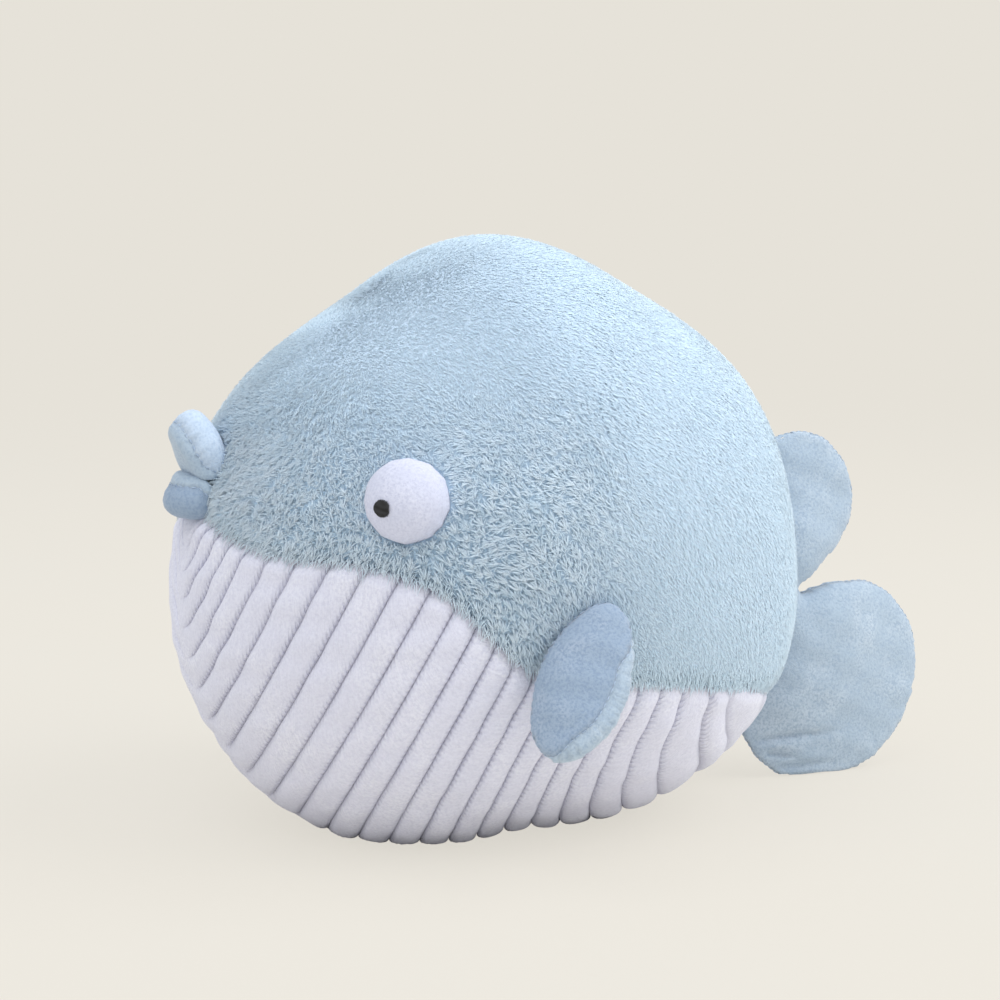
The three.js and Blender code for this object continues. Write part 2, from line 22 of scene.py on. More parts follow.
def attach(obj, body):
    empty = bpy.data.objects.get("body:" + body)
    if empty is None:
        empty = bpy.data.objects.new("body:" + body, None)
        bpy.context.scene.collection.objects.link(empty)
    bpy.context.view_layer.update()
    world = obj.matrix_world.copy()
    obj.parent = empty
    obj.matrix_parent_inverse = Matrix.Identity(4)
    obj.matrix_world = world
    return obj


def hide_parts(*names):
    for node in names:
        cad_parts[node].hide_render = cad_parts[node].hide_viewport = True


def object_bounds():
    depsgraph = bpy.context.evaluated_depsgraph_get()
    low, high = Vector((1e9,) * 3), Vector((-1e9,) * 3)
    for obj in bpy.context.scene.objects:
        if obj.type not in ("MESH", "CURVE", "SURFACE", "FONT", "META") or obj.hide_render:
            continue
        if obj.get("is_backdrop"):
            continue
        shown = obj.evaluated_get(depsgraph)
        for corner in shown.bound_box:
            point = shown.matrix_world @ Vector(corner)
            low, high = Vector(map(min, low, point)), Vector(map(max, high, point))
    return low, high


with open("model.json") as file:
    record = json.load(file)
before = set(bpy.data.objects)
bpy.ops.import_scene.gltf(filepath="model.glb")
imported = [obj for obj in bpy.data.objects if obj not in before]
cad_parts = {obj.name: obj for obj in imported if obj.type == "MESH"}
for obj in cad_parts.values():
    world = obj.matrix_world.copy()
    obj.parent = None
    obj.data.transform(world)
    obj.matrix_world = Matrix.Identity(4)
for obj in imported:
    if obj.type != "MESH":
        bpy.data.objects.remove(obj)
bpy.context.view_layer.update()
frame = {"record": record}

# %% [markdown]
# ## Camera
#
# The photograph was taken from the fish's left, a little ahead of it and just
# above the level. A long lens keeps the ball round. The lens is found from the
# width of the frame in pixels, so the picture is taken to be square.

# %% Camera
VIEW_AZIMUTH = 157.25
VIEW_ELEVATION = 8.32
VIEW_DISTANCE = 1.15
VIEW_TARGET = Vector((-0.0059, 0.0, 0.12985))
FOCAL_IN_FRAME_WIDTHS = 2.783

azimuth, elevation = math.radians(VIEW_AZIMUTH), math.radians(VIEW_ELEVATION)
toward_camera = Vector((
    math.sin(azimuth) * math.cos(elevation),
    -math.cos(azimuth) * math.cos(elevation),
    math.sin(elevation),
))
camera = bpy.data.objects.new("camera", bpy.data.cameras.new("camera"))
bpy.context.collection.objects.link(camera)
camera.data.lens = FOCAL_IN_FRAME_WIDTHS * camera.data.sensor_width
camera.location = VIEW_TARGET + VIEW_DISTANCE * toward_camera
camera.rotation_mode = "QUATERNION"
camera.rotation_quaternion = (-toward_camera).to_track_quat("-Z", "Y")
bpy.context.scene.camera = camera
bpy.context.scene.view_settings.view_transform = "Standard"
print("camera lens", round(camera.data.lens, 1), "mm")

# %% [markdown]
# ## Small helpers for nodes
#
# Every finish below is a small network of nodes. A few helpers keep those networks
# readable. The first makes a node and fills its sockets with numbers or with links.
# The last two start a cloth material, whose even values sit on the shader itself, and
# link its colour and its height.

# %% Node helpers
SHEEN_SPREAD = 0.45


def put(tree, kind, inputs=None, **settings):
    """Adds a node; a socket given as an input is linked, anything else is set."""
    made = tree.nodes.new(kind)
    for key, value in settings.items():
        setattr(made, key, value)
    for key, value in (inputs or {}).items():
        if isinstance(value, bpy.types.NodeSocket):
            tree.links.new(value, made.inputs[key])
        else:
            made.inputs[key].default_value = value
    return made


def sums(tree, operation, *values):
    """One Math node on sockets or numbers."""
    inputs = dict(enumerate(values))
    return put(tree, "ShaderNodeMath", inputs, operation=operation).outputs[0]


def blend_colours(tree, factor, first, second):
    """Mixes two colours, each a socket or a written colour."""
    inputs = {0: factor, 6: first, 7: second}
    return put(tree, "ShaderNodeMix", inputs, data_type="RGBA").outputs[2]


def ramp(tree, value, low, high, to_low=0.0, to_high=1.0):
    """Smoothly maps a value from one range to another."""
    inputs = {"Value": value, 1: low, 2: high, 3: to_low, 4: to_high}
    node = put(tree, "ShaderNodeMapRange", inputs, interpolation_type="SMOOTHSTEP")
    return node.outputs[0]


def attribute(tree, name):
    """Reads a number that was stored on the mesh's points."""
    return put(tree, "ShaderNodeAttribute", attribute_name=name).outputs["Fac"]


def written(code):
    """A colour as it is written for screens, turned into the light it stands for."""
    parts = [int(code[i:i + 2], 16) / 255 for i in (1, 3, 5)]
    return [*(p / 12.92 if p < 0.04045 else ((p + 0.055) / 1.055) ** 2.4 for p in parts), 1.0]


def start_cloth(name, roughness, sheen, shine=0.2):
    """A material with one shader; its even values are set on the shader's sockets."""
    material = bpy.data.materials.new(name)
    material.use_nodes = True
    shader = material.node_tree.nodes["Principled BSDF"]
    shader.inputs["Roughness"].default_value = roughness
    shader.inputs["Specular IOR Level"].default_value = shine
    shader.inputs["Sheen Weight"].default_value = sheen
    shader.inputs["Sheen Roughness"].default_value = SHEEN_SPREAD
    return material, material.node_tree, shader


def link_cloth(tree, shader, colour, height, strength, distance):
    """Shows a colour on the shader and a height through a Bump node."""
    tree.links.new(colour, shader.inputs["Base Color"])
    inputs = {"Strength": strength, "Distance": distance, "Height": height}
    bump = put(tree, "ShaderNodeBump", inputs)
    tree.links.new(bump.outputs[0], shader.inputs["Normal"])


print("node helpers ready")

# %% [markdown]
# ## Floor and light
#
# The toy stands on a pale seamless sweep. Here that is a wide disc of floor that
# fades into a plain world of the same colour, so no horizon cuts the picture from
# any side. To the camera the floor shows mostly an even glow of its own colour, which
# keeps the shadow as faint as on a lit sweep. The light is a big soft lamp high on the
# tail's side and a wide, weaker one overhead, towards the face: cloth and fur need
# broad light, or every fibre turns harsh.

# %% Floor
FLOOR_RADIUS = 3.0
FLOOR_FADE, FLOOR_END = 0.45, 1.8
PALE_SHARE = 0.85
PAPER = written("#e6e2d9")

bpy.ops.mesh.primitive_circle_add(vertices=96, radius=FLOOR_RADIUS, fill_type="NGON")
floor = bpy.context.object
floor.name = "pale_floor"
paper = bpy.data.materials.new("pale_paper")
paper.use_nodes = True
tree = paper.node_tree
tree.nodes.clear()
place = put(tree, "ShaderNodeTexCoord").outputs["Object"]
away = put(tree, "ShaderNodeVectorMath", {0: place}, operation="LENGTH").outputs["Value"]
fade = ramp(tree, away, FLOOR_FADE, FLOOR_END)
cloudy = {"Vector": place, "Scale": 3.0, "Detail": 2.0}
mottle = put(tree, "ShaderNodeTexNoise", cloudy).outputs["Fac"]
tone = blend_colours(tree, ramp(tree, mottle, 0.3, 0.7), written("#ebe6dc"), written("#e9e6df"))
matte = put(tree, "ShaderNodeBsdfDiffuse", {"Color": tone}).outputs[0]
clear = put(tree, "ShaderNodeBsdfTransparent").outputs[0]
lit = put(tree, "ShaderNodeEmission", {"Color": PAPER, "Strength": 1.0}).outputs[0]
paths = put(tree, "ShaderNodeLightPath").outputs
soft = sums(tree, "MULTIPLY", paths["Is Camera Ray"], PALE_SHARE)
ground = put(tree, "ShaderNodeMixShader", {0: soft, 1: matte, 2: lit}).outputs[0]
mixed = put(tree, "ShaderNodeMixShader", {0: fade, 1: ground, 2: clear}).outputs[0]
put(tree, "ShaderNodeOutputMaterial", {"Surface": mixed})
floor.data.materials.append(paper)
floor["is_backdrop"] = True
print("floor radius", FLOOR_RADIUS, "m")

# %% World
ROOM_GLOW = 0.81
ROOM_COLOUR = (0.98, 0.99, 1.0, 1.0)

world = bpy.data.worlds.new("soft_room")
bpy.context.scene.world = world
world.use_nodes = True
tree = world.node_tree
tree.nodes.clear()
paths = put(tree, "ShaderNodeLightPath").outputs
seen = sums(tree, "MAXIMUM", paths["Is Camera Ray"], paths["Is Glossy Ray"])
seen = sums(tree, "MAXIMUM", seen, paths["Is Transmission Ray"])
room = {"Color": ROOM_COLOUR, "Strength": ROOM_GLOW}
glow = put(tree, "ShaderNodeBackground", room).outputs[0]
wall = put(tree, "ShaderNodeBackground", {"Color": PAPER, "Strength": 1.0}).outputs[0]
either = put(tree, "ShaderNodeMixShader", {0: seen, 1: glow, 2: wall}).outputs[0]
put(tree, "ShaderNodeOutputWorld", {"Surface": either})
print("world glow", ROOM_GLOW)

# %% Lamps
def soft_lamp(name, place, size, power, colour):
    """A square lamp aimed at the middle of the fish."""
    data = bpy.data.lights.new(name, "AREA")
    data.size = size
    data.energy = power
    data.color = colour
    lamp = bpy.data.objects.new(name, data)
    bpy.context.collection.objects.link(lamp)
    lamp.location = place
    lamp.rotation_mode = "QUATERNION"
    lamp.rotation_quaternion = (VIEW_TARGET - lamp.location).to_track_quat("-Z", "Y")


soft_lamp("window", place=(-1.3, 0.75, 1.7), size=1.7, power=31.0, colour=(1.0, 0.99, 0.98))
soft_lamp("ceiling", place=(0.73, 0.53, 2.15), size=1.8, power=20.0, colour=(0.97, 0.985, 1.0))

# %% [markdown]
# ## The filled ball
#
# The body is a ball that bulges by different amounts in the side view: twelve
# reaches, one every 30 degrees, joined by a smooth curve, and one half width.
# These are the same values that the solids were made from. Everything sewn onto
# the body is measured from this surface, so it is written as a function of
# direction instead of as a mesh. Sizes are in millimetres until a mesh is made.

# %% Body surface
MM = 0.001
# Straight ahead comes first, then every 30 degrees upward, over crown, tail end and keel.
SIDE_REACHES = np.array([130, 120, 113, 123, 117, 124, 128, 138, 132, 123, 138, 139], float)
HALF_WIDTH = 121.0
SOLE_PRESS = 7.0
CROWN, KEEL, SOLE = 3, 9, 10
MIDDLE = np.array([0.0, 0.0, SIDE_REACHES[KEEL] - SOLE_PRESS])
NORMAL_STEP = 2e-3


def unit(vectors):
    """The same directions, each one long."""
    return vectors / np.linalg.norm(vectors, axis=-1, keepdims=True)


def curve_through(before, near, far, after, t):
    """Smooth curve from near to far that also heeds the values either side."""
    leave, arrive = (far - before) / 2, (after - near) / 2
    cubic = 2 * near - 2 * far + leave + arrive
    square = -3 * near + 3 * far - 2 * leave - arrive
    return ((cubic * t + square) * t + leave) * t + near


def side_reach(angle):
    """How far the body reaches in the side view, at an angle up from straight ahead."""
    place = np.asarray(angle) / (2 * np.pi) * len(SIDE_REACHES)
    start = np.floor(place).astype(int)
    near = [SIDE_REACHES[(start + k) % len(SIDE_REACHES)] for k in (-1, 0, 1, 2)]
    return curve_through(*near, place - start)


def body_reach(d):
    """How far the body reaches from its middle in any direction."""
    tilt = np.arctan2(d[..., 2], d[..., 0])
    lengthwise = np.hypot(d[..., 0], d[..., 2]) / side_reach(tilt)
    return 1 / np.hypot(lengthwise, d[..., 1] / HALF_WIDTH)


def body_point(d, inset):
    """The point of the body in a direction, moved in by the inset."""
    return MIDDLE + d * (body_reach(d) - inset)[..., None]


def aim(azimuth, elevation):
    """A direction, from its turn to the left and its rise."""
    azimuth, elevation = np.broadcast_arrays(azimuth, elevation)
    level = np.cos(elevation)
    return np.stack([level * np.cos(azimuth), level * np.sin(azimuth), np.sin(elevation)], -1)


def body_normal(d):
    """Outward normal of the body's surface, from two short steps over it."""
    pole = np.where(np.abs(d[..., 2:]) < 0.9, [0.0, 0.0, 1.0], [1.0, 0.0, 0.0])
    east = unit(np.cross(pole, d))
    north = np.cross(d, east)
    flush = np.zeros(d.shape[:-1])
    here = body_point(d, flush)
    over_east = body_point(unit(d + NORMAL_STEP * east), flush) - here
    over_north = body_point(unit(d + NORMAL_STEP * north), flush) - here
    return unit(np.cross(over_east, over_north))


print("crown at", round(float(MIDDLE[2] + SIDE_REACHES[CROWN]), 1), "mm")

# %% [markdown]
# ## The seam and the ribs
#
# Fur and belly meet in a seam that starts under the mouth, dips below the eye and
# runs low along the side to the tail. The belly cloth is quilted in ribs that fan
# out from the tail end of that seam. A rib number for every direction lets the
# same numbers place the ribs, the grooves and the stitches in them.

# %% Seam
# One height every 15 degrees, from under the mouth round to the tail.
SEAM_HEIGHTS = np.array([19, 11.5, 6.5, 6, -4, -33, -41, -45, -50.5, -56, -62, -66.5, -69])
SEAM_STEPS = np.linspace(0, np.pi, 361)
SEAM_STEEPEST = 1.2


def rising_root(test, low, high, steps=34):
    """Halving search, for many values at once, for where a test turns true."""
    for _ in range(steps):
        middle = (low + high) / 2
        passed = test(middle)
        high = np.where(passed, middle, high)
        low = np.where(passed, low, middle)
    return (low + high) / 2


def seam_height(azimuth):
    """Height of the seam over the body's middle, from straight ahead round to the tail."""
    last = len(SEAM_HEIGHTS) - 1
    place = azimuth / np.pi * last
    start = np.floor(place).astype(int)
    near = [SEAM_HEIGHTS[last - np.abs(last - np.abs(start + k))] for k in (-1, 0, 1, 2)]
    return curve_through(*near, place - start)


def above_seam(elevation):
    """True where a direction at each seam step has passed over the seam."""
    d = aim(SEAM_STEPS, elevation)
    return body_reach(d) * d[..., 2] > seam_height(SEAM_STEPS)


steepest = np.full(len(SEAM_STEPS), SEAM_STEEPEST)
SEAM_ELEVATIONS = rising_root(above_seam, -steepest, steepest)


def seam_elevation(azimuth):
    """Rise of the seam, the same on both sides of the fish."""
    return np.interp(np.abs(azimuth), SEAM_STEPS, SEAM_ELEVATIONS)


def seam_direction(azimuth):
    """The direction in which the seam lies."""
    return aim(azimuth, seam_elevation(azimuth))


print("seam from", SEAM_HEIGHTS[0], "to", SEAM_HEIGHTS[-1], "mm over the middle of the body")

# %% [markdown]
# A rib's level is the angle from the line through the tail end of the seam and the
# body's middle. Ribs bow back at the sides, and RIB_POINT rounds the V in which they
# meet over the keel. Rows of points are then found along lines of one level.

# %% Ribs
RIB_PITCH = 13.3
RIB_DEPTH = 3.1
RIB_BOW_FRONT, RIB_BOW_MIDDLE, RIB_BOW_REAR = 0.386, 0.482, 1.948
RIB_BOW_START = 0.12
RIB_POINT = 0.03
RIB_AXIS = -unit(seam_direction(np.array(np.pi)) * [1, 0, 1])
RIB_DOWN = np.array([RIB_AXIS[2], 0.0, -RIB_AXIS[0]])
LEFT = np.array([0.0, 1.0, 0.0])
UP = np.array([0.0, 0.0, 1.0])


def rib_level(d, point=RIB_POINT):
    """The level of the rib that runs through a direction."""
    along = d @ RIB_AXIS
    rear = (1 - along) / 2
    bow = RIB_BOW_FRONT * (1 - rear) * (1 - 2 * rear) + RIB_BOW_REAR * rear * (2 * rear - 1)
    bow = bow + RIB_BOW_MIDDLE * 4 * rear * (1 - rear)
    aside = np.hypot(d[..., 1], point) - RIB_BOW_START
    return np.arccos(np.clip(along - (1 + along) * bow * aside, -1, 1))


under_lip = seam_direction(np.array(0.0))
FIRST_LEVEL = float(rib_level(under_lip, RIB_BOW_START))
FAN_SPAN = np.pi - FIRST_LEVEL
RIB_COUNT = round(FAN_SPAN * (SIDE_REACHES[KEEL] + SIDE_REACHES[SOLE]) / 2 / RIB_PITCH)
FIRST_PLACE = (float(rib_level(under_lip)) - FIRST_LEVEL) / FAN_SPAN * RIB_COUNT


def rib_directions(places, columns):
    """Directions on the belly: rows run along ribs, columns from the right seam to the left."""
    levels = FIRST_LEVEL + FAN_SPAN * places / RIB_COUNT
    start = np.zeros(len(places))
    past_seam = rising_root(lambda a: rib_level(seam_direction(a)) > levels, start, start + np.pi)
    edges = seam_direction(past_seam)
    turns = np.arctan2(edges @ LEFT, edges @ RIB_DOWN)[:, None] * columns
    outward = np.cos(turns)[..., None] * RIB_DOWN + np.sin(turns)[..., None] * LEFT

    def ahead(a):
        return np.cos(a)[..., None] * RIB_AXIS + np.sin(a)[..., None] * outward

    start = np.zeros(turns.shape)
    on_rib = rising_root(lambda a: rib_level(ahead(a)) > levels[:, None], start, start + np.pi)
    return ahead(on_rib)


print("ribs", RIB_COUNT, "from", round(FIRST_PLACE, 2))

# %% [markdown]
# ## Making meshes
#
# A mesh is made from plain arrays: points, faces, numbers stored on the points for
# the materials to read, and a flat map that lays every face out for the baked copy
# of its colours. Each piece then rides on a body of the frame, takes its finish
# from the record and stands for the solid that it replaces.

# %% Mesh helpers
def volume(points, faces):
    """Volume inside closed faces; below zero where they are turned inside out."""
    total = 0.0
    for group in faces:
        for k in range(1, group.shape[1] - 1):
            a, b, c = points[group[:, 0]], points[group[:, k]], points[group[:, k + 1]]
            total += (a * np.cross(b, c)).sum() / 6
    return total


def new_mesh(name, points, *faces, numbers=None, flat=None, hard=0):
    """A mesh of smooth faces, the last few of which may be hard."""
    points = np.asarray(points)
    if volume(points - points.mean(0), faces) < 0:
        faces = [f[:, ::-1] for f in faces]
        flat = flat and [f[:, ::-1] for f in flat]
    mesh = bpy.data.meshes.new(name)
    corners = np.concatenate([f.ravel() for f in faces]).astype(np.int32)
    sizes = np.concatenate([np.full(len(f), f.shape[1]) for f in faces])
    starts = np.concatenate([[0], np.cumsum(sizes)[:-1]])
    mesh.vertices.add(len(points))
    mesh.vertices.foreach_set("co", (points * MM).astype(np.float32).ravel())
    mesh.loops.add(len(corners))
    mesh.loops.foreach_set("vertex_index", corners)
    mesh.polygons.add(len(sizes))
    mesh.polygons.foreach_set("loop_start", starts.astype(np.int32))
    mesh.polygons.foreach_set("use_smooth", np.arange(len(sizes)) < len(sizes) - hard)
    mesh.update(calc_edges=True)
    for key, values in (numbers or {}).items():
        stored = mesh.attributes.new(key, "FLOAT", "POINT")
        stored.data.foreach_set("value", np.asarray(values, np.float32))
    if flat is not None:
        layer = mesh.uv_layers.new(name="OFBake")
        spread_out = np.concatenate([f.reshape(-1, 2) for f in flat])
        layer.data.foreach_set("uv", spread_out.astype(np.float32).ravel())
    return mesh


print("meshes are made in millimetres and kept in metres")

# %% Pieces on bodies
def new_piece(name, mesh, material, body, nodes=()):
    """A piece of the toy: it rides on a body and may stand for solids of the frame."""
    piece = bpy.data.objects.new(name, mesh)
    bpy.context.collection.objects.link(piece)
    piece.data.materials.append(material)
    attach(piece, body)
    if nodes:
        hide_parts(*nodes)


# %% Faces and their flat maps
FLAT_OUTER, FLAT_INNER, FLAT_INNER_START = 0.9, 0.08, 0.91
FLAT_EDGE_LOW, FLAT_EDGE_HIGH = 0.992, 0.998


def grid_faces(rows, columns, start=0, ring=False):
    """Quads over a grid of points; a ring's last column meets its first."""
    r, c = np.meshgrid(np.arange(rows - 1), np.arange(columns - (not ring)), indexing="ij")
    near, far = start + r * columns + c, start + r * columns + (c + 1) % columns
    return np.stack([near, far, far + columns, near + columns], -1).reshape(-1, 4)


def rim_of_grid(rows, columns):
    """The points round a grid's border, in order."""
    grid = np.arange(rows * columns).reshape(rows, columns)
    return np.concatenate([grid[0, :-1], grid[:-1, -1], grid[-1, :0:-1], grid[:0:-1, 0]])


def walls(first, second):
    """Quads between two closed rings of points."""
    return np.stack([first, second, np.roll(second, -1), np.roll(first, -1)], -1)


def fan(ring, tip):
    """Triangles from a ring of points to a tip."""
    return np.stack([ring, np.roll(ring, -1), np.full(len(ring), tip)], -1)


def mirror(points, mirrored):
    """The points, or their mirror image on the other side of the fish."""
    return points * [1, -1, 1] if mirrored else points


def strip_flat(count):
    """Lays a ring of wall faces out as a thin strip of the flat map."""
    k = np.arange(count)
    low, high = FLAT_EDGE_LOW, FLAT_EDGE_HIGH
    corners = [(k, low), (k, high), (k + 1, high), (k + 1, low)]
    return np.stack([np.stack([u / count, np.full(count, v)], -1) for u, v in corners], 1)


def two_sided_flat(spread, faces, edges):
    """Lays out a cloth's outer side large, its inner side as a band and its edge as a strip."""
    outer = spread * [1.0, FLAT_OUTER]
    inner = spread * [1.0, FLAT_INNER] + [0.0, FLAT_INNER_START]
    return [outer[faces], inner[faces[:, ::-1]], strip_flat(edges)]


print("edges lie at", FLAT_EDGE_LOW, "of the flat map")

# %% Normals and gentle unevenness
def point_normals(points, triangles):
    """Outward direction at each point, from the triangles round it."""
    a, b, c = (points[triangles[:, k]] for k in range(3))
    across = np.cross(b - a, c - a)
    total = np.zeros_like(points)
    for k in range(3):
        np.add.at(total, triangles[:, k], across)
    return unit(total + 1e-12)


def soft_noise(points, size, seed, waves=6):
    """Smooth wandering value between about -1 and 1, the same on every run."""
    rng = np.random.default_rng(seed)
    ways = unit(rng.normal(size=(waves, 3))) * 2 * np.pi / size
    ways = ways * rng.uniform(0.7, 1.4, (waves, 1))
    starts = rng.uniform(0, 2 * np.pi, waves)
    return np.sin(points @ ways.T + starts).sum(-1) / math.sqrt(waves)


def smooth_step(values, low, high):
    """Rises smoothly from 0 at low to 1 at high."""
    t = np.clip((values - low) / (high - low), 0, 1)
    return t * t * (3 - 2 * t)


print("normals and noise ready")

# %% [markdown]
# ## Shared effects
#
# Short pile, ribbed plush, undercoat and filling all show a fine grain and a slow
# drift of colour where the nap lies one way or the other. That effect is one node
# group with named inputs, placed in each material with its own sizes and colours.

# %% Nap group
def nap_group():
    """Grain and drift of a brushed pile, as a colour and a height."""
    group = bpy.data.node_groups.new("nap", "ShaderNodeTree")
    sockets = group.interface
    for name, kind in (("Place", "NodeSocketVector"), ("Grain Size", "NodeSocketFloat"),
                       ("Drift Size", "NodeSocketFloat"), ("Deep", "NodeSocketColor"),
                       ("Middle", "NodeSocketColor"), ("Bright", "NodeSocketColor")):
        sockets.new_socket(name, in_out="INPUT", socket_type=kind)
    for name, kind in (("Color", "NodeSocketColor"), ("Height", "NodeSocketFloat")):
        sockets.new_socket(name, in_out="OUTPUT", socket_type=kind)
    given = put(group, "NodeGroupInput").outputs
    fine = sums(group, "DIVIDE", 1.0, given["Grain Size"])
    wide = sums(group, "DIVIDE", 1.0, given["Drift Size"])
    pile = {"Vector": given["Place"], "Scale": fine, "Detail": 3.0, "Roughness": 0.6}
    sway = {"Vector": given["Place"], "Scale": wide, "Detail": 2.0, "Distortion": 0.6}
    grain = put(group, "ShaderNodeTexNoise", pile).outputs["Fac"]
    drift = put(group, "ShaderNodeTexNoise", sway).outputs["Fac"]
    low = blend_colours(group, ramp(group, grain, 0.3, 0.62), given["Deep"], given["Middle"])
    both = sums(group, "MULTIPLY", ramp(group, drift, 0.42, 0.72), ramp(group, grain, 0.35, 0.7))
    shown = blend_colours(group, both, low, given["Bright"])
    height = sums(group, "ADD", grain, sums(group, "MULTIPLY", drift, 0.6))
    put(group, "NodeGroupOutput", {"Color": shown, "Height": height})
    return group


NAP = nap_group()


def with_nap(tree, grain, drift, deep, middle, bright):
    """Places the nap in a material; put() sets its tree first, which gives it its sockets."""
    place = put(tree, "ShaderNodeTexCoord").outputs["Object"]
    inputs = {"Place": place, "Grain Size": grain, "Drift Size": drift,
              "Deep": written(deep), "Middle": written(middle), "Bright": written(bright)}
    return put(tree, "ShaderNodeGroup", inputs, node_tree=NAP).outputs


print("nap group has", len(NAP.nodes), "nodes")

# %% [markdown]
# Short plush is the nap in one tint: five tints serve lips, fins, tail, eyes and
# filling. Two of them are lit and shaded copies of the blue cloth: a paler tint is
# painted light on the upper lip's lit back panel, and a darker tint is painted shade
# on the fin fronts and the lower lip's underside. Thread is an even colour crossed by
# its plies.

# %% Cloth finishes
PLUSH_GRAIN, PLUSH_DRIFT, PLUSH_NAP = 0.0011, 0.018, 0.0006


def short_plush(name, deep, middle, bright, sheen):
    """Short pile in three tints of one colour."""
    material, tree, shader = start_cloth(name, roughness=0.88, sheen=sheen)
    nap = with_nap(tree, PLUSH_GRAIN, PLUSH_DRIFT, deep, middle, bright)
    link_cloth(tree, shader, nap["Color"], nap["Height"], strength=0.5, distance=PLUSH_NAP)
    return material


BLUE_PLUSH = short_plush("short_blue_plush", "#99abbf", "#a8b9c9", "#b7c5d3", sheen=0.25)
# The next two tints are the blue cloth with light painted on, paler, and with shade painted on,
# darker.
LIT_PLUSH = short_plush("lit_blue_plush", "#afc2d9", "#becfe3", "#ccdaeb", sheen=0.25)
SHADED_PLUSH = short_plush("shaded_blue_plush", "#8396af", "#92a4b9", "#a1b0c4", sheen=0.2)
WHITE_PLUSH = short_plush("short_white_plush", "#bec2d6", "#c8ccdf", "#d2d5e5", sheen=0.2)
FILLING = short_plush("fibre_filling", "#dddbd5", "#efede8", "#f8f7f4", sheen=0.1)
plush = (BLUE_PLUSH, LIT_PLUSH, SHADED_PLUSH, WHITE_PLUSH, FILLING)
print("plush", [material.name for material in plush])

# %% Thread finish
PLY_PITCH, PLY_RELIEF = 0.004, 0.0001


def twisted_thread(name, dark, light):
    """Sewing thread: fine slanting plies over an even colour."""
    material, tree, shader = start_cloth(name, roughness=0.6, sheen=0.0, shine=0.35)
    place = put(tree, "ShaderNodeTexCoord").outputs["Object"]
    twist = {"Vector": place, "Scale": 1 / PLY_PITCH, "Distortion": 1.5}
    plies = put(tree, "ShaderNodeTexWave", twist, bands_direction="DIAGONAL").outputs["Fac"]
    colour = blend_colours(tree, plies, written(dark), written(light))
    link_cloth(tree, shader, colour, plies, strength=0.4, distance=PLY_RELIEF)
    return material


BLACK_THREAD = twisted_thread("black_thread", "#17181a", "#2c2e31")
BLUE_THREAD = twisted_thread("blue_thread", "#9aafc9", "#b3c5db")
print("threads", BLACK_THREAD.name, BLUE_THREAD.name)

# %% [markdown]
# ## Ribbed belly
#
# The belly is white channel plush: round ribs with narrow stitched grooves between
# them. Cushions are often swelled by simulation, but the ribs must follow the
# seam exactly, so they are formed row by row: each rib is a rounded bump, lowest
# at its grooves, a little uneven as filled cloth is, and tucked in at the seam.
# Over the keel in front the cloth is stretched, and the ribs are nearly flat there.
# Where the toy sits, they are pressed flat on the floor.

# %% Belly rows
RIB_PROFILE = np.array([0.0, 0.03, 0.08, 0.16, 0.28, 0.42, 0.58, 0.72, 0.84, 0.92, 0.97])
HALF_GROOVE = np.array([0.46, 0.5, 0.54])
UNDER_MOUTH = np.array([0.97, 0.7, 0.4, 0.16, 0.06])
LAST_PLACE = RIB_COUNT - 0.01
BELLY_COLUMNS = 141
SPLIT_RIBS = 4

belly_places = np.concatenate([*(k + RIB_PROFILE for k in range(RIB_COUNT)), [LAST_PLACE]])
halves = (RIB_COUNT - SPLIT_RIBS + np.arange(SPLIT_RIBS)[:, None] + HALF_GROOVE).ravel()
under_mouth = FIRST_PLACE * UNDER_MOUTH
belly_places = np.sort(np.concatenate([under_mouth, belly_places, halves]))
belly_columns = np.linspace(-1, 1, BELLY_COLUMNS)
belly_way = rib_directions(belly_places, belly_columns)
rows = len(belly_places)
on_body = body_point(belly_way, np.zeros((rows, BELLY_COLUMNS)))
steps = np.linalg.norm(np.diff(on_body, axis=1), axis=-1)
run = np.concatenate([np.zeros((rows, 1)), np.cumsum(steps, 1)], 1)
from_seam = np.minimum(run, run[:, -1:] - run)
wide = np.linalg.norm(np.gradient(on_body, belly_places, axis=0), axis=-1)
print("belly rows", rows, "columns", BELLY_COLUMNS)
print("ribs are", wide[::40].max(1).round(0), "mm wide at most")

# %% Belly surface
BELLY_CLOTH = 1.6
SEAM_TUCK, SEAM_TUCK_WIDTH = 3.0, 3.5
SPLIT_FROM, SPLIT_FULLY = 16, 23
KEEL_STRETCH, KEEL_WIDTH = 0.96, 0.045
KEEL_FADE_START, KEEL_FADE_END = 0.1, 0.6
RIB_SQUARENESS, RIB_FULLNESS = 2.6, 0.55
RIB_UNEVENNESS, CLOTH_WAVE = 0.12, 0.35


def rib_crest(places):
    """The rounded form of a rib: 0 in its grooves, 1 on its top."""
    aside = np.abs(2 * (places % 1.0) - 1)[:, None]
    return (1 - aside ** RIB_SQUARENESS) ** RIB_FULLNESS


split = smooth_step(wide, SPLIT_FROM, SPLIT_FULLY)
split = split * (belly_places > RIB_COUNT - SPLIT_RIBS)[:, None]
crest = rib_crest(belly_places) * (1 - split) + rib_crest(2 * belly_places) * split
ahead = 1 - smooth_step(belly_way @ -RIB_AXIS, KEEL_FADE_START, KEEL_FADE_END)
quilted = 1 - KEEL_STRETCH * ahead * np.exp(-(belly_way[..., 1] / KEEL_WIDTH) ** 2)
uneven = 1 + RIB_UNEVENNESS * soft_noise(on_body, size=30, seed=3)
tuck = SEAM_TUCK * np.exp(-(from_seam / SEAM_TUCK_WIDTH) ** 2)
inset = RIB_DEPTH * quilted * (1 - crest * np.clip(uneven, 0.7, 1.2)) + tuck
waved = inset + CLOTH_WAVE * soft_noise(on_body, size=18, seed=4)
belly_out = body_point(belly_way, waved)
belly_in = body_point(belly_way, RIB_DEPTH + BELLY_CLOTH + tuck)
belly_out[..., 2] = np.maximum(belly_out[..., 2], 0.0)
belly_in[..., 2] = np.maximum(belly_in[..., 2], BELLY_CLOTH)
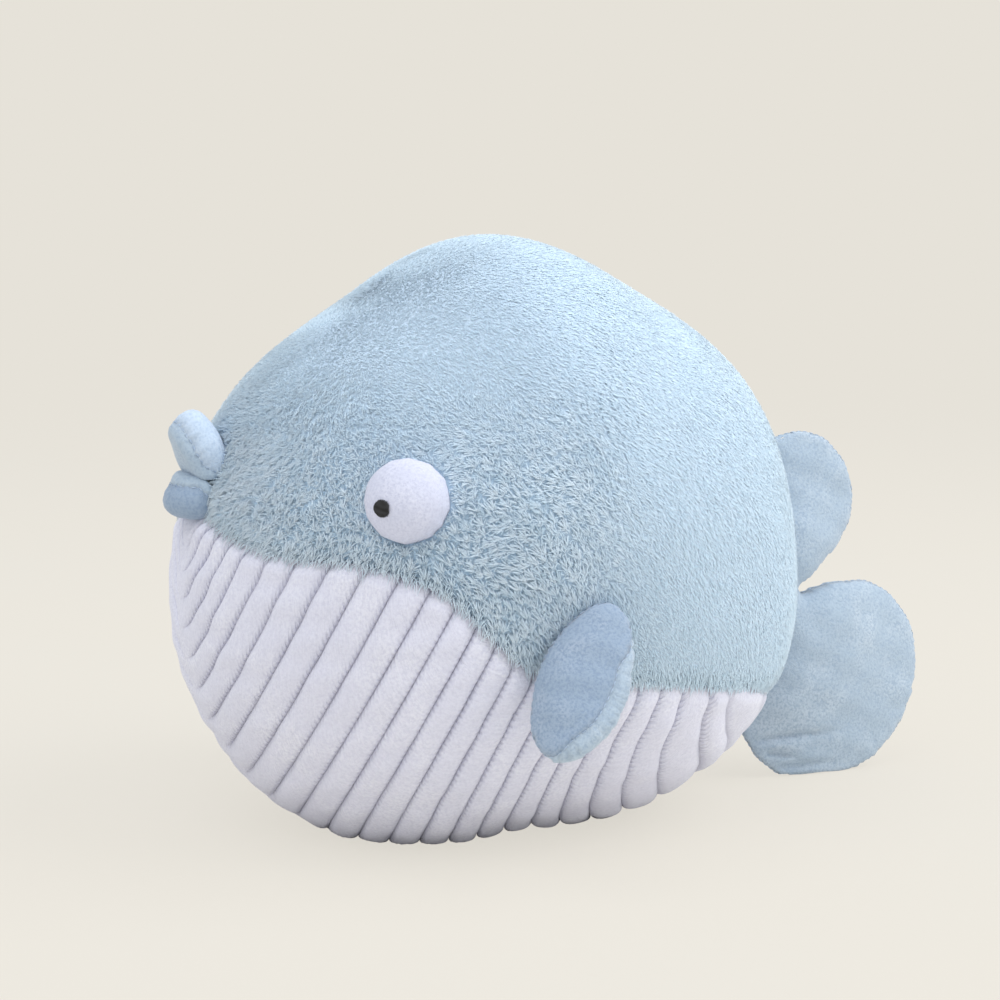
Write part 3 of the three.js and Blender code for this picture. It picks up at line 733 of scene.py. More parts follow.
print("grooves are", round(float(inset.max()), 1), "mm deep at most, with the tuck at the seam")

# %% [markdown]
# The finish follows the ribs. Numbers stored on the mesh, such as the rib's number and
# the run along it, let the material paint shade into the grooves, gather the cloth at
# each stitch with a dent and painted shade, and lay the nap across the ribs, as brushed
# plush shows it.

# %% Belly finish
STITCH_PITCH = 2.9
RIB_STREAK, STREAK_ACROSS = 0.9, 2.2
BELLY_GRAIN, BELLY_DRIFT, BELLY_NAP = 0.0012, 0.02, 0.0006
GROOVE_SHADE, GATHER_SHADE, GATHER_DEPTH = 0.3, 0.25, 1.2


def ribbed_plush():
    """White plush with painted shade in its grooves, gathers at the stitches that are dented and
    painted with shade, and a brushed nap.
    """
    material, tree, shader = start_cloth("ribbed_plush", roughness=0.9, sheen=0.2)
    stored = ("rib", "run", "quilted", "split")
    rib, along, quilted, split = (attribute(tree, name) for name in stored)

    def times(first, second):
        return sums(tree, "MULTIPLY", first, second)

    def from_half(value):
        cycle = sums(tree, "FRACT", value)
        return sums(tree, "ABSOLUTE", sums(tree, "SUBTRACT", cycle, 0.5))

    nap = with_nap(tree, BELLY_GRAIN, BELLY_DRIFT, "#ced0e1", "#d8dae9", "#e0e2ee")
    across = from_half(rib)
    halfway = times(ramp(tree, across, 0.06, 0.0), split)
    either = sums(tree, "MAXIMUM", ramp(tree, across, 0.44, 0.5), halfway)
    groove = times(either, quilted)
    shoulder = times(ramp(tree, across, 0.32, 0.48), quilted)
    beat = from_half(sums(tree, "DIVIDE", along, STITCH_PITCH))
    gather = times(ramp(tree, beat, 0.24, 0.44), shoulder)
    lengthwise = sums(tree, "DIVIDE", along, RIB_STREAK)
    lie = {"X": times(rib, STREAK_ACROSS), "Y": lengthwise}
    brushed = {"Vector": put(tree, "ShaderNodeCombineXYZ", lie).outputs[0],
               "Scale": 1.0, "Detail": 2.0}
    streak = put(tree, "ShaderNodeTexNoise", brushed).outputs["Fac"]
    darker = ramp(tree, streak, 0.35, 0.75, 0.0, 0.35)
    toned = blend_colours(tree, darker, nap["Color"], written("#c8c9da"))
    # Painted shade: grooves and gathers are blended towards a grey-violet shade colour.
    shade = sums(tree, "ADD", times(groove, GROOVE_SHADE), times(gather, GATHER_SHADE))
    colour = blend_colours(tree, shade, toned, written("#afafc4"))
    raised = sums(tree, "ADD", nap["Height"], streak)
    height = sums(tree, "SUBTRACT", raised, times(gather, GATHER_DEPTH))
    link_cloth(tree, shader, colour, height, strength=0.6, distance=BELLY_NAP)
    return material


RIBBED_PLUSH = ribbed_plush()
print("ribbed plush has", len(RIBBED_PLUSH.node_tree.nodes), "nodes")

# %% Belly piece
count = rows * BELLY_COLUMNS
rib_number = np.repeat(belly_places, BELLY_COLUMNS)
laid_out = (belly_places - belly_places[0]) / np.ptp(belly_places)
grid = np.meshgrid(laid_out, (belly_columns + 1) / 2, indexing="ij")
spread = np.stack(grid, -1).reshape(-1, 2)
skin = grid_faces(rows, BELLY_COLUMNS)
border = rim_of_grid(rows, BELLY_COLUMNS)
stored = {"rib": rib_number, "run": run, "quilted": quilted, "split": split}
belly_mesh = new_mesh(
    "belly_cover", np.concatenate([belly_out.reshape(-1, 3), belly_in.reshape(-1, 3)]),
    skin, skin[:, ::-1] + count, walls(border, border + count),
    flat=two_sided_flat(spread, skin, len(border)),
    numbers={key: np.tile(values.ravel(), 2) for key, values in stored.items()},
)
new_piece("belly_cover_cloth", belly_mesh, RIBBED_PLUSH, "body",
          ["belly_cover"])
print("belly faces", len(belly_mesh.polygons))

# %% [markdown]
# ## Padded cloth
#
# Lips, fins and tail are made alike: two panels of short plush are sewn round the
# edge, turned and filled. The panels are cut flat, meshed with even triangles,
# joined at the rim and blown up by the cloth simulation, which draws the rim in
# and puckers it as real filling does. The pad is then brought to the height of its
# solid, its rim is pulled in as a seam, and it is bent into place on the body.

# %% Outlines
def run_round(closed):
    """Length gone by at each point of a path."""
    return np.concatenate([[0], np.cumsum(np.linalg.norm(np.diff(closed, axis=0), axis=1))])


def resample(outline, spacing):
    """Points at even steps round a closed outline."""
    closed = np.concatenate([outline, outline[:1]])
    gone = run_round(closed)
    at = np.linspace(0, gone[-1], max(round(gone[-1] / spacing), 12), endpoint=False)
    return np.stack([np.interp(at, gone, closed[:, k]) for k in range(2)], 1)


def edge_distance(outline, points):
    """Distance from points to a closed outline."""
    start, way = outline, np.roll(outline, -1, 0) - outline
    share = ((points[:, None] - start) * way).sum(-1) / (way ** 2).sum(-1)
    nearest = start + np.clip(share, 0, 1)[..., None] * way
    return np.linalg.norm(points[:, None] - nearest, axis=-1).min(1)


def within(outline, points):
    """True for points inside a closed outline."""
    x, y = points[:, :1], points[:, 1:]
    (x1, y1), (x2, y2) = outline.T, np.roll(outline, -1, 0).T
    crosses = (y1 > y) != (y2 > y)
    at = x1 + (y - y1) * (x2 - x1) / np.where(y2 == y1, 1e-9, y2 - y1)
    return (crosses & (x < at)).sum(1) % 2 == 1


print("outlines are closed paths in millimetres")

# %% Cut and mesh a flat panel
RIM_CLEARANCE = 0.6


def cut_panel(outline, spacing):
    """Flat points, rim first, and triangles of a panel."""
    rim = resample(outline, spacing)
    low, high = rim.min(0), rim.max(0)
    across = np.arange(low[0], high[0], spacing)
    upward = np.arange(low[1], high[1], spacing * math.sqrt(3) / 2)
    lattice = np.concatenate([
        np.stack([across + (i % 2) * spacing / 2, np.full(len(across), y)], 1)
        for i, y in enumerate(upward)
    ])
    inner = lattice[within(rim, lattice)]
    inner = inner[edge_distance(rim, inner) > RIM_CLEARANCE * spacing]
    points = np.concatenate([rim, inner])
    edges = [(i, (i + 1) % len(rim)) for i in range(len(rim))]
    _, _, faces, origin, _, _ = delaunay_2d_cdt([Vector(p) for p in points], edges, [], 1, 1e-6)
    triangles = np.array([[origin[i][0] for i in face] for face in faces])
    a, b, c = (points[triangles[:, k]] for k in range(3))
    (x1, y1), (x2, y2) = (b - a).T, (c - a).T
    turn = x1 * y2 - y1 * x2
    triangles[turn < 0] = triangles[turn < 0][:, ::-1]
    return points, len(rim), triangles


print("panels are cut on an even triangle lattice")

# %% Fill a pad
CLOTH_SCALE = 10 * MM
CLOTH_FRAMES = 22
START_FULLNESS = 0.45
ROOT_HELD, ROOT_FREE = 22, 62


def pad_height(distance, half_thickness, rounding):
    """Height of a pad's surface, which curves up from its rim."""
    return half_thickness * np.sqrt(1 - (1 - np.minimum(distance / rounding, 1)) ** 2)


def swell(name, points, triangles):
    """Blows up a closed cloth pad with the simulation and returns its points."""
    mesh = bpy.data.meshes.new(name)
    mesh.from_pydata((points * CLOTH_SCALE).tolist(), [], triangles.tolist())
    pad = bpy.data.objects.new(name, mesh)
    bpy.context.collection.objects.link(pad)
    cloth = pad.modifiers.new("Cloth", "CLOTH")
    cloth.settings.quality = 8
    cloth.settings.tension_stiffness = 30
    cloth.settings.compression_stiffness = 30
    cloth.settings.shear_stiffness = 10
    cloth.settings.bending_stiffness = 0.4
    cloth.settings.use_pressure = True
    cloth.settings.uniform_pressure_force = 4
    cloth.settings.effector_weights.gravity = 0
    cloth.collision_settings.use_collision = False
    cloth.point_cache.frame_end = CLOTH_FRAMES
    for step in range(1, CLOTH_FRAMES + 1):
        bpy.context.scene.frame_set(step)
    shown = pad.evaluated_get(bpy.context.evaluated_depsgraph_get()).to_mesh()
    moved = np.empty(len(points) * 3, np.float32)
    shown.vertices.foreach_get("co", moved)
    bpy.data.objects.remove(pad)
    bpy.data.meshes.remove(mesh)
    bpy.context.scene.frame_set(1)
    return moved.reshape(-1, 3).astype(float) / CLOTH_SCALE


def filled_pad(name, outline, spacing, half_thickness, rounding, root=None):
    """A filled pad lying in its own plane: its points, front and back triangles, and rim count.

    Round its root, where it is sewn down, a pad keeps the plain form that it is cut to."""
    flat, rim, front = cut_panel(outline, spacing)
    total = len(flat)
    back_of = np.where(np.arange(total) < rim, np.arange(total), np.arange(total) + total - rim)
    height = pad_height(edge_distance(flat[:rim], flat), half_thickness, rounding)
    height[:rim] = 0
    spots = np.concatenate([flat, flat[rim:]])
    sides = np.concatenate([height, -height[rim:]])
    back = back_of[front][:, ::-1]
    pad = np.column_stack([spots, sides])
    thin = np.column_stack([spots, sides * START_FULLNESS])
    grown = swell(name, thin, np.concatenate([front, back]))
    low, high = grown[:, :2].min(0), grown[:, :2].max(0)
    goal_low, goal_high = spots.min(0), spots.max(0)
    grown[:, :2] = goal_low + (grown[:, :2] - low) * (goal_high - goal_low) / (high - low)
    grown[:, 2] *= half_thickness / np.abs(grown[:, 2]).max()
    free = 1.0
    if root is not None:
        from_root = np.linalg.norm(spots - root, axis=1)
        free = smooth_step(from_root, ROOT_HELD, ROOT_FREE)[:, None]
    pad = grown * free + pad * (1 - free)
    return pad, front, back, rim


print("cloth is simulated at", CLOTH_SCALE / MM, "times its size")

# %% [markdown]
# A seam shows as a line of short stitches, so its thread is a row of rounded lengths,
# one for each stitch. On lips and fins the seam isn't in the middle of the edge: one
# panel is cut larger and comes round, and the seam is slid over the rounded side.

# %% Thread
STITCH_LENGTH, STITCH_GAP, STITCH_RADIUS = 2.0, 1.1, 0.2
THREAD_LIFT = 0.05
STITCH_SHARES, STITCH_WIDTHS = (0.12, 0.5, 0.88), (0.75, 1.0, 0.75)


def capsules(starts, ends, radius, sides=5):
    """Short rounded lengths of thread from starts to ends."""
    along = unit(ends - starts)
    pole = np.where(np.abs(along[:, 2:]) < 0.9, [0.0, 0.0, 1.0], [1.0, 0.0, 0.0])
    across = unit(np.cross(along, pole))
    above = np.cross(along, across)
    angle = 2 * np.pi * np.arange(sides) / sides
    turn, rise = np.cos(angle)[None, :, None], np.sin(angle)[None, :, None]
    ring = turn * across[:, None] + rise * above[:, None]
    parts = [starts[:, None] + share * (ends - starts)[:, None] + radius * width * ring
             for share, width in zip(STITCH_SHARES, STITCH_WIDTHS)]
    points = np.concatenate([starts[:, None], *parts, ends[:, None]], 1)
    each = points.shape[1]
    rings = len(STITCH_SHARES)
    quads = grid_faces(rings, sides, start=1, ring=True)
    near = 1 + np.arange(sides)
    last = near + (rings - 1) * sides
    tips = np.concatenate([fan(near, 0)[:, ::-1], fan(last, each - 1)])
    first = each * np.arange(len(starts))[:, None, None]
    return points.reshape(-1, 3), (first + quads).reshape(-1, 4), (first + tips).reshape(-1, 3)


def seam_stitches(ring, normals):
    """Thread along a closed seam, in stitches of one length."""
    closed = np.concatenate([ring, ring[:1]])
    gone = run_round(closed)
    lifted = closed + THREAD_LIFT * np.concatenate([normals, normals[:1]])
    at = np.arange(0, gone[-1] - STITCH_LENGTH, STITCH_LENGTH + STITCH_GAP)

    def along(where):
        return np.stack([np.interp(where, gone, lifted[:, k]) for k in range(3)], 1)

    return capsules(along(at), along(at + STITCH_LENGTH), STITCH_RADIUS)


print("stitches are", STITCH_LENGTH, "mm long")

# %% Edges of a pad
def wall_agrees(faces, ring):
    """True where a wall from the ring to the inner layer turns the same way as the faces."""
    edges = {(int(f[k]), int(f[(k + 1) % 3])) for f in faces for k in range(3)}
    return (int(ring[0]), int(ring[1])) in edges


def slide_seam(points, rim, rounding, degrees):
    """Moves the sewn edge over a pad's rounded side, to the front where degrees are above 0."""
    edge, thickness = points[:rim, :2], np.abs(points[:, 2]).max()
    after = np.roll(edge, -1, 0)
    way = unit(after - np.roll(edge, 1, 0))
    turn = np.sign((edge[:, 0] * after[:, 1] - edge[:, 1] * after[:, 0]).sum())
    inward = turn * np.stack([-way[:, 1], way[:, 0]], 1)
    gap = np.linalg.norm(points[:, None, :2] - edge, axis=-1)
    nearest = gap.argmin(1)
    up, out = points[:, 2] / thickness, 1 - np.minimum(gap.min(1), rounding) / rounding
    size, angle = np.hypot(up, out), np.arctan2(up, out)
    slide = np.radians(degrees(edge))[nearest]
    moved = slide + angle * (1 - np.sign(angle) * slide / (np.pi / 2))
    depth = rounding * size * (np.cos(angle) - np.cos(moved))
    rise = thickness * size * (np.sin(moved) - np.sin(angle))
    return points + np.column_stack([inward[nearest] * depth[:, None], rise])


def relaxed(points, triangles, rounds):
    """Evens out small facets: each point moves halfway to the middle of its neighbours."""
    start, end = np.concatenate([triangles[:, k] for k in ([0, 1], [1, 2], [2, 0])]).T
    for _ in range(rounds):
        total, number = np.zeros_like(points), np.zeros((len(points), 1))
        np.add.at(total, start, points[end])
        np.add.at(number, start, 1)
        points = (points + total / number) / 2
    return points


print("seams and facets can be moved")

# %% Sew a pad in place
PANEL_CLOTH = 1.0
SEAM_DEPTH = 0.9
PAD_WAVE = 0.3
PAD_FILL_GAP, PAD_FILL_LUMPS, PAD_FILL_RIM = 0.4, 0.25, 1.0


def sew(prefix, pad, bend, body, panels, stuffing, mirrored=False,
        cloths=(BLUE_PLUSH, BLUE_PLUSH), depth=SEAM_DEPTH):
    """Makes the two panels, the seam's thread and the filling of one pad."""
    points, front, back, rim = pad
    spots = points[:, :2]
    spread = (spots - spots.min(0)) / np.ptp(spots, axis=0)
    placed = mirror(bend(points), mirrored)
    if volume(placed, [front, back]) < 0:
        front, back = front[:, ::-1], back[:, ::-1]
    every = np.concatenate([front, back])
    normals = point_normals(placed, every)
    wave = soft_noise(mirror(placed, mirrored), size=15, seed=6)[:, None]
    placed = placed + PAD_WAVE * wave * normals
    placed[:rim] -= depth * normals[:rim]
    normals = point_normals(placed, every)
    inside = placed - PANEL_CLOTH * normals
    for (name, node), faces, cloth in zip(panels, (front, back), cloths):
        used = np.unique(faces)
        to = np.zeros(len(placed), int)
        to[used] = np.arange(len(used))
        outer = to[faces]
        ring = to[np.arange(rim)]
        shift = len(used)
        edge = walls(ring, ring + shift)
        if not wall_agrees(outer, ring):
            edge = edge[:, ::-1]
        mesh = new_mesh(name, np.concatenate([placed[used], inside[used]]),
                        outer, outer[:, ::-1] + shift, edge,
                        flat=two_sided_flat(spread[used], outer, rim))
        new_piece(name, mesh, cloth, body, [node])
    thread = seam_stitches(placed[:rim], normals[:rim])
    seam = new_mesh(f"{prefix}_seam", *thread)
    new_piece(f"{prefix}_seam_thread", seam, BLUE_THREAD, body)
    packed = placed - (PANEL_CLOTH + PAD_FILL_GAP) * normals
    packed += PAD_FILL_LUMPS * soft_noise(packed, size=6, seed=5)[:, None] * normals
    packed[:rim] -= PAD_FILL_RIM * normals[:rim]
    lump = new_mesh(f"{prefix}_filling", packed, every)
    new_piece(f"{prefix}_filling", lump, FILLING, body, [stuffing])
    return placed, every


print("panels are", PANEL_CLOTH, "mm thick")

# %% [markdown]
# ## Lips
#
# The two lips are small half-round pads sewn on above and below the mouth. The
# upper one stands up against the fur, the lower one points straight ahead. Each
# foot is cut a little long, so that it stands in the fur and no gap shows.

# %% Lips
LIP_HALF_WIDTH, LIP_ROUNDING = 15.0, 9.0
LIP_FOOT, LIP_FULLNESS, LIP_IN_FUR = 7.5, 0.85, 4.0
LIP_BLUNTNESS, LIP_SEAM_DEPTH = 0.72, 0.4
LIP_SPACING = 1.2


def lip_outline(length):
    """A half-round end on a foot that reaches into the fur."""
    a = np.linspace(0, np.pi, 61)
    arc = np.stack([LIP_HALF_WIDTH * np.cos(a), length * np.sin(a) ** LIP_FULLNESS], 1)
    foot = np.array([[-LIP_HALF_WIDTH * 0.9, -LIP_IN_FUR], [-LIP_FOOT, -LIP_IN_FUR - 1],
                     [LIP_FOOT, -LIP_IN_FUR - 1], [LIP_HALF_WIDTH * 0.9, -LIP_IN_FUR]])
    return np.concatenate([arc, foot])


def lip_bend(root_angle, lean, seat):
    """Wraps a flat lip round the front of the body."""
    outward = aim(0.0, math.radians(root_angle))
    along = aim(0.0, math.radians(lean))
    behind = np.array([-along[2], 0.0, along[0]])
    root = outward * body_reach(outward)

    def bend(points):
        x, y, z = (points[:, k:k + 1] for k in range(3))
        wrap = np.sqrt(1 - (x / HALF_WIDTH) ** 2)
        return MIDDLE + root * wrap + LEFT * x + along * y + behind * z + outward * seat
    return bend


def make_lip(name, length, thick, root_angle, lean, seat, slide, sides, cloths):
    """Fills one lip, slides its seam off the middle and sews it on."""
    pad = filled_pad(name, lip_outline(length), LIP_SPACING, thick, LIP_ROUNDING)
    points, front, back, rim = pad
    up, full = np.sign(points[:, 2]), np.abs(points[:, 2]) / thick
    points[:, 2] = up * thick * full ** LIP_BLUNTNESS
    points = slide_seam(points, rim, LIP_ROUNDING,
                        lambda edge: slide * smooth_step(edge[:, 1], -2, 5))
    points = relaxed(points, np.concatenate([front, back]), rounds=4)
    panels = [(f"{name}_{side}_cloth", f"{name}_{side}_panel") for side in sides]
    return sew(name, (points, front, back, rim), lip_bend(root_angle, lean, seat), "body", panels,
               f"{name}_stuffing", cloths=cloths, depth=LIP_SEAM_DEPTH)


# The upper lip's back panel takes the paler tint, painted light where it faces the lamps; the
# lower lip's bottom panel takes the darker tint, painted shade under the upper lip.
lips = [
    make_lip("upper_lip", length=25.0, thick=8.8, root_angle=16.0, lean=66.0, seat=-0.1242,
             slide=-46.0, sides=("back", "front"), cloths=(LIT_PLUSH, BLUE_PLUSH)),
    make_lip("lower_lip", length=14.0, thick=9.2, root_angle=10.5, lean=0.0, seat=-0.5509,
             slide=55.0, sides=("top", "bottom"), cloths=(BLUE_PLUSH, SHADED_PLUSH)),
]
print("lips reach", round(max(p[:, 0].max() for p, _ in lips), 1), "mm ahead")

# %% [markdown]
# ## Side fins
#
# Each fin is a long flat drop that hangs from its sewn top and twists as it falls.
# Its front panel is cut narrower at the rear, so the seam shows there as a line, and
# it is sewn from the darker tint: painted shade, as that side faces away from the lamps.
# The left one is filled and bent into place; the right one is its mirror image. The fins
# flap in the model, so their pieces ride on bodies of their own.

# %% Fin form
FIN_LENGTH, FIN_HALF_WIDTH, FIN_TAPER = 64.0, 18.0, 0.08
FIN_HALF_THICKNESS, FIN_ROUNDING = 8.5, 13.0
FIN_FORWARD_LEAN, FIN_OUTWARD_LEAN = 28.0, 14.0
FIN_ROOT_TURN, FIN_TWIST = 14.0, 26.0
FIN_SEAM_SLIDE = 58.0
FIN_SPACING = 1.4
FIN_ROOT = body_point(aim(math.radians(90), math.radians(-4)), 2.0)
FORWARD = np.array([1.0, 0.0, 0.0])
joints = {joint["name"]: joint for joint in frame["record"]["behaviour"]["joints"]}
FIN_SEAT = joints["left_fin_flap"]["pos_m"][1] / MM - FIN_ROOT[1]


def turned(vectors, axis, degrees):
    """Turns vectors about an axis, by one angle or by one angle each."""
    angle = np.radians(np.asarray(degrees, float))[..., None]
    along = (vectors * axis).sum(-1, keepdims=True)
    level = vectors * np.cos(angle) + np.cross(axis, vectors) * np.sin(angle)
    return level + axis * along * (1 - np.cos(angle))


FIN_ALONG = turned(turned(-UP, LEFT, -FIN_FORWARD_LEAN), FORWARD, FIN_OUTWARD_LEAN)


def fin_bend(points):
    """Hangs the flat left fin from its root and twists it on its way down."""
    across = unit(FORWARD - FIN_ALONG * (FORWARD @ FIN_ALONG))
    turn = FIN_ROOT_TURN + FIN_TWIST * points[:, 1] / FIN_LENGTH
    ahead = turned(np.broadcast_to(across, points.shape), FIN_ALONG, turn)
    face = -np.cross(FIN_ALONG, ahead)
    hung = FIN_ROOT + FIN_ALONG * points[:, 1:2] + ahead * points[:, :1] + face * points[:, 2:]
    return hung + LEFT * FIN_SEAT


def fin_slide(edge):
    """The seam is slid along the rear edge, but not at the sewn root."""
    return FIN_SEAM_SLIDE * smooth_step(-edge[:, 0], -9, 12) * smooth_step(edge[:, 1], 3, 24)


print("fins lean", FIN_FORWARD_LEAN, "degrees forward and", FIN_OUTWARD_LEAN, "outward")

# %% Fin pads
a = np.linspace(0, 2 * np.pi, 96, endpoint=False)
fin_outline = np.stack([FIN_HALF_WIDTH * (1 + FIN_TAPER * np.cos(a)) * np.sin(a),
                        FIN_LENGTH / 2 * (1 + np.cos(a))], 1)
points, front, back, rim = filled_pad("fin", fin_outline, FIN_SPACING, FIN_HALF_THICKNESS,
                                      FIN_ROUNDING)
points = slide_seam(points, rim, FIN_ROUNDING, fin_slide)
fin_pad = points, front, back, rim
SIDES = (("left", False), ("right", True))
fins = []
# Each fin's front panel takes the darker tint, which is painted shade.
for side, mirrored in SIDES:
    fin = f"{side}_fin"
    panels = [(f"{fin}_{face}_cloth", f"{fin}_{face}_panel") for face in ("front", "back")]
    fins.append(sew(fin, fin_pad, fin_bend, fin, panels, f"{fin}_stuffing",
                    mirrored=mirrored, cloths=(SHADED_PLUSH, BLUE_PLUSH)))
print("fin hangs to", round(fins[0][0][:, 2].min(), 1), "mm")

# %% [markdown]
# ## Tail
#
# The tail is one thick pad with two round lobes. The upper lobe stands up, the lower
# one is larger and rests on the floor, where its filled edge is pressed into a flat
# foot and its cloth creases. The outline is drawn round the sewn root, as far out as
# the longer of the two lobes reaches at each angle.

# %% Tail
TAIL_HALF_THICKNESS, TAIL_ROUNDING, TAIL_NECK = 11.0, 22.0, 14.0
TAIL_HINGE = np.array([joints["tail_sway"]["pos_m"][k] / MM for k in (0, 2)])
TAIL_FRONT, TAIL_UNDERCUT = TAIL_HINGE[0] + 6.2, 0.28
# Each lobe: its length, and its middle and half spread in degrees round the root.
TAIL_LOBES = ((77.0, 100.0, 50.5), (89.0, 233.0, 76.0))
LOBE_FULLNESS = 0.55
TAIL_SPACING = 1.7
TAIL_FOOT = 0.3


def tail_reach(angle):
    """How far the outline lies from the root, at an angle up from straight ahead."""
    reach = np.full(angle.shape, TAIL_NECK)
    for length, middle, spread in TAIL_LOBES:
        off = np.abs((angle - middle + 180) % 360 - 180)
        lobe = np.cos(np.minimum(off / spread, 1) * np.pi / 2) ** LOBE_FULLNESS
        reach = np.maximum(reach, length * lobe)
    return reach


def tail_bend(points):
    """Stands the flat tail up in the middle plane, pressed flat on the floor."""
    placed = np.stack([points[:, 0], points[:, 2], points[:, 1]], 1)
    placed[:, 2] = np.maximum(placed[:, 2], TAIL_FOOT)
    return placed


a = np.linspace(0, 360, 721)[:-1]
around = np.stack([np.cos(np.radians(a)), np.sin(np.radians(a))], 1)
tail_outline = TAIL_HINGE + around * tail_reach(a)[:, None]
under = np.maximum(TAIL_HINGE[1] - TAIL_NECK - tail_outline[:, 1], 0) * TAIL_UNDERCUT
tail_outline[:, 0] = np.minimum(tail_outline[:, 0], TAIL_FRONT + under)
tail_pad = filled_pad("tail", tail_outline, TAIL_SPACING, TAIL_HALF_THICKNESS, TAIL_ROUNDING,
                      root=TAIL_HINGE)
print("tail outline", len(tail_outline), "points, cloth", len(tail_pad[0]), "points")

# %% Tail creases
CREASE_WIDTH, CREASE_WANDER = 1.5, 1.2
# Each crease: where it starts and ends, behind the body and above the floor, and its depth.
TAIL_CREASES = (((-124.0, 17.0), (-170.0, 19.0), 2.6),
                ((-130.0, 11.5), (-150.0, 6.5), 2.2),
                ((-136.0, 4.2), (-170.0, 3.6), 1.8))

points = tail_pad[0]
for (x1, z1), (x2, z2), depth in TAIL_CREASES:
    share = (points[:, 0] - x1) / (x2 - x1)
    line = z1 + (z2 - z1) * share + CREASE_WANDER * np.sin(3 * share)
    fade = smooth_step(share, -0.05, 0.2) * (1 - smooth_step(share, 0.45, 1.0))
    fold = np.exp(-((points[:, 1] - line) / CREASE_WIDTH) ** 2)
    points[:, 2] -= np.sign(points[:, 2]) * depth * fade * fold
panels = [(f"tail_{side}_cloth", f"tail_{side}_panel") for side, _ in SIDES]
tail = sew("tail", tail_pad, tail_bend, "tail", panels, "tail_stuffing")
print("tail spans", np.ptp(tail[0], axis=0).round(1), "mm")

# %% [markdown]
# ## Eyes
#
# Each eye is a ball of short white plush, gathered by a drawn thread where it meets
# the fur. The gathers give its rim about a dozen flat sides. A dome swept round the
# eye's axis, pinched towards its base, shows that better than a simulated ball.

# %% Eye balls
EYE_RADIUS, EYE_BULGE, EYE_CLOTH = 16.8, 15.0, 1.2
EYE_GATHERS = 12
EYE_AXIS = aim(math.radians(53.0), math.radians(14.5))
EYE_MIDDLE = body_point(EYE_AXIS, 0.5)
EYE_FORWARD = unit(np.cross(EYE_AXIS, UP))
EYE_UP = np.cross(EYE_FORWARD, EYE_AXIS)
EYE_BANDS, EYE_TURNS = 34, 144
EYE_TOP, EYE_BASE, EYE_FILL_BASE = 4.0, 112.0, 108.0
EYE_FILL_GAP = 0.4
GATHER_PINCH, BASE_DRAWN_IN = 0.9, 0.06


def eye_dome(inset, lowest=EYE_BASE):
    """Rings of points from near the top of the ball to its base, and the top itself."""
    band = np.radians(np.linspace(EYE_TOP, lowest, EYE_BANDS))[:, None]
    turn = 2 * np.pi * np.arange(EYE_TURNS) / EYE_TURNS
    half = np.pi / EYE_GATHERS
    wander = turn + 0.10 * np.sin(3 * turn + 1) + 0.05 * np.sin(5 * turn)
    flat_side = np.cos(half) / np.cos(np.mod(wander, 2 * half) - half)
    pinch = smooth_step(band, math.radians(40), math.radians(96))
    drawn = 1 - BASE_DRAWN_IN * smooth_step(band, math.radians(50), math.radians(88))
    gathered = 1 + GATHER_PINCH * pinch * (flat_side - flat_side.mean())
    radius = (EYE_RADIUS - inset) * drawn * gathered * np.sin(band)
    height = (EYE_BULGE - inset) * np.cos(band)
    around = np.cos(turn)[:, None] * EYE_FORWARD + np.sin(turn)[:, None] * EYE_UP
    rings = EYE_MIDDLE + EYE_AXIS * height[..., None] + around * radius[..., None]
    return rings, EYE_MIDDLE + EYE_AXIS * (EYE_BULGE - inset)


outer, top = eye_dome(0.0)
inner, inner_top = eye_dome(EYE_CLOTH)
fill_rings, fill_top = eye_dome(EYE_CLOTH + EYE_FILL_GAP, lowest=EYE_FILL_BASE)
print("eye stands", EYE_BULGE, "mm from the fur")

# %% Eye pieces
ring = np.arange(EYE_TURNS)
count = EYE_BANDS * EYE_TURNS
ball_points = np.concatenate([outer.reshape(-1, 3), inner.reshape(-1, 3), [top, inner_top]])
skin = grid_faces(EYE_BANDS, EYE_TURNS, ring=True)
base = ring + count - EYE_TURNS
ball_quads = np.concatenate([skin, skin[:, ::-1] + count, walls(base, base + count)[:, ::-1]])
ball_tips = np.concatenate([fan(ring, 2 * count)[:, ::-1], fan(ring + count, 2 * count + 1)])
fill_points = np.concatenate([fill_rings.reshape(-1, 3), [fill_top, fill_rings[-1].mean(0)]])
fill_tips = np.concatenate([fan(ring, count)[:, ::-1], fan(base, count + 1)])
for side, mirrored in SIDES:
    eye = f"{side}_eye"
    mesh = new_mesh(f"{eye}_ball", mirror(ball_points, mirrored), ball_quads, ball_tips)
    new_piece(mesh.name, mesh, WHITE_PLUSH, "body", [f"{eye}_cover"])
    mesh = new_mesh(f"{eye}_filling", mirror(fill_points, mirrored), skin, fill_tips)
    new_piece(mesh.name, mesh, FILLING, "body", [f"{eye}_stuffing"])
print("eye faces", len(ball_quads) + len(ball_tips))

# %% [markdown]
# A pupil is a small oval of satin stitch: black threads laid side by side over the
# cloth, higher in the middle. A disc of black would lack those threads, so each one
# is a thin tube from rim to rim, with ends that are a little uneven.

# %% Satin threads
PUPIL_RADIUS, PUPIL_FORWARD, PUPIL_DOWN = 3.8, 21.5, 18.0
SATIN_PITCH, SATIN_RADIUS = 0.42, 0.3
LOOK = turned(turned(EYE_AXIS, EYE_UP, -PUPIL_FORWARD), EYE_FORWARD, -PUPIL_DOWN)
LOOK_ACROSS = unit(np.cross(UP, LOOK))
LOOK_ABOVE = np.cross(LOOK, LOOK_ACROSS)


def on_eye(across, above, lift):
    """A point of the eye's surface, given by its offsets from the line of sight."""
    way = unit(LOOK * EYE_RADIUS + LOOK_ACROSS * across[..., None] + LOOK_ABOVE * above[..., None])
    depth = way @ EYE_AXIS
    reach = 1 / np.hypot(depth / EYE_BULGE, np.sqrt(1 - depth ** 2) / EYE_RADIUS)
    return EYE_MIDDLE + way * (reach + lift)[..., None]


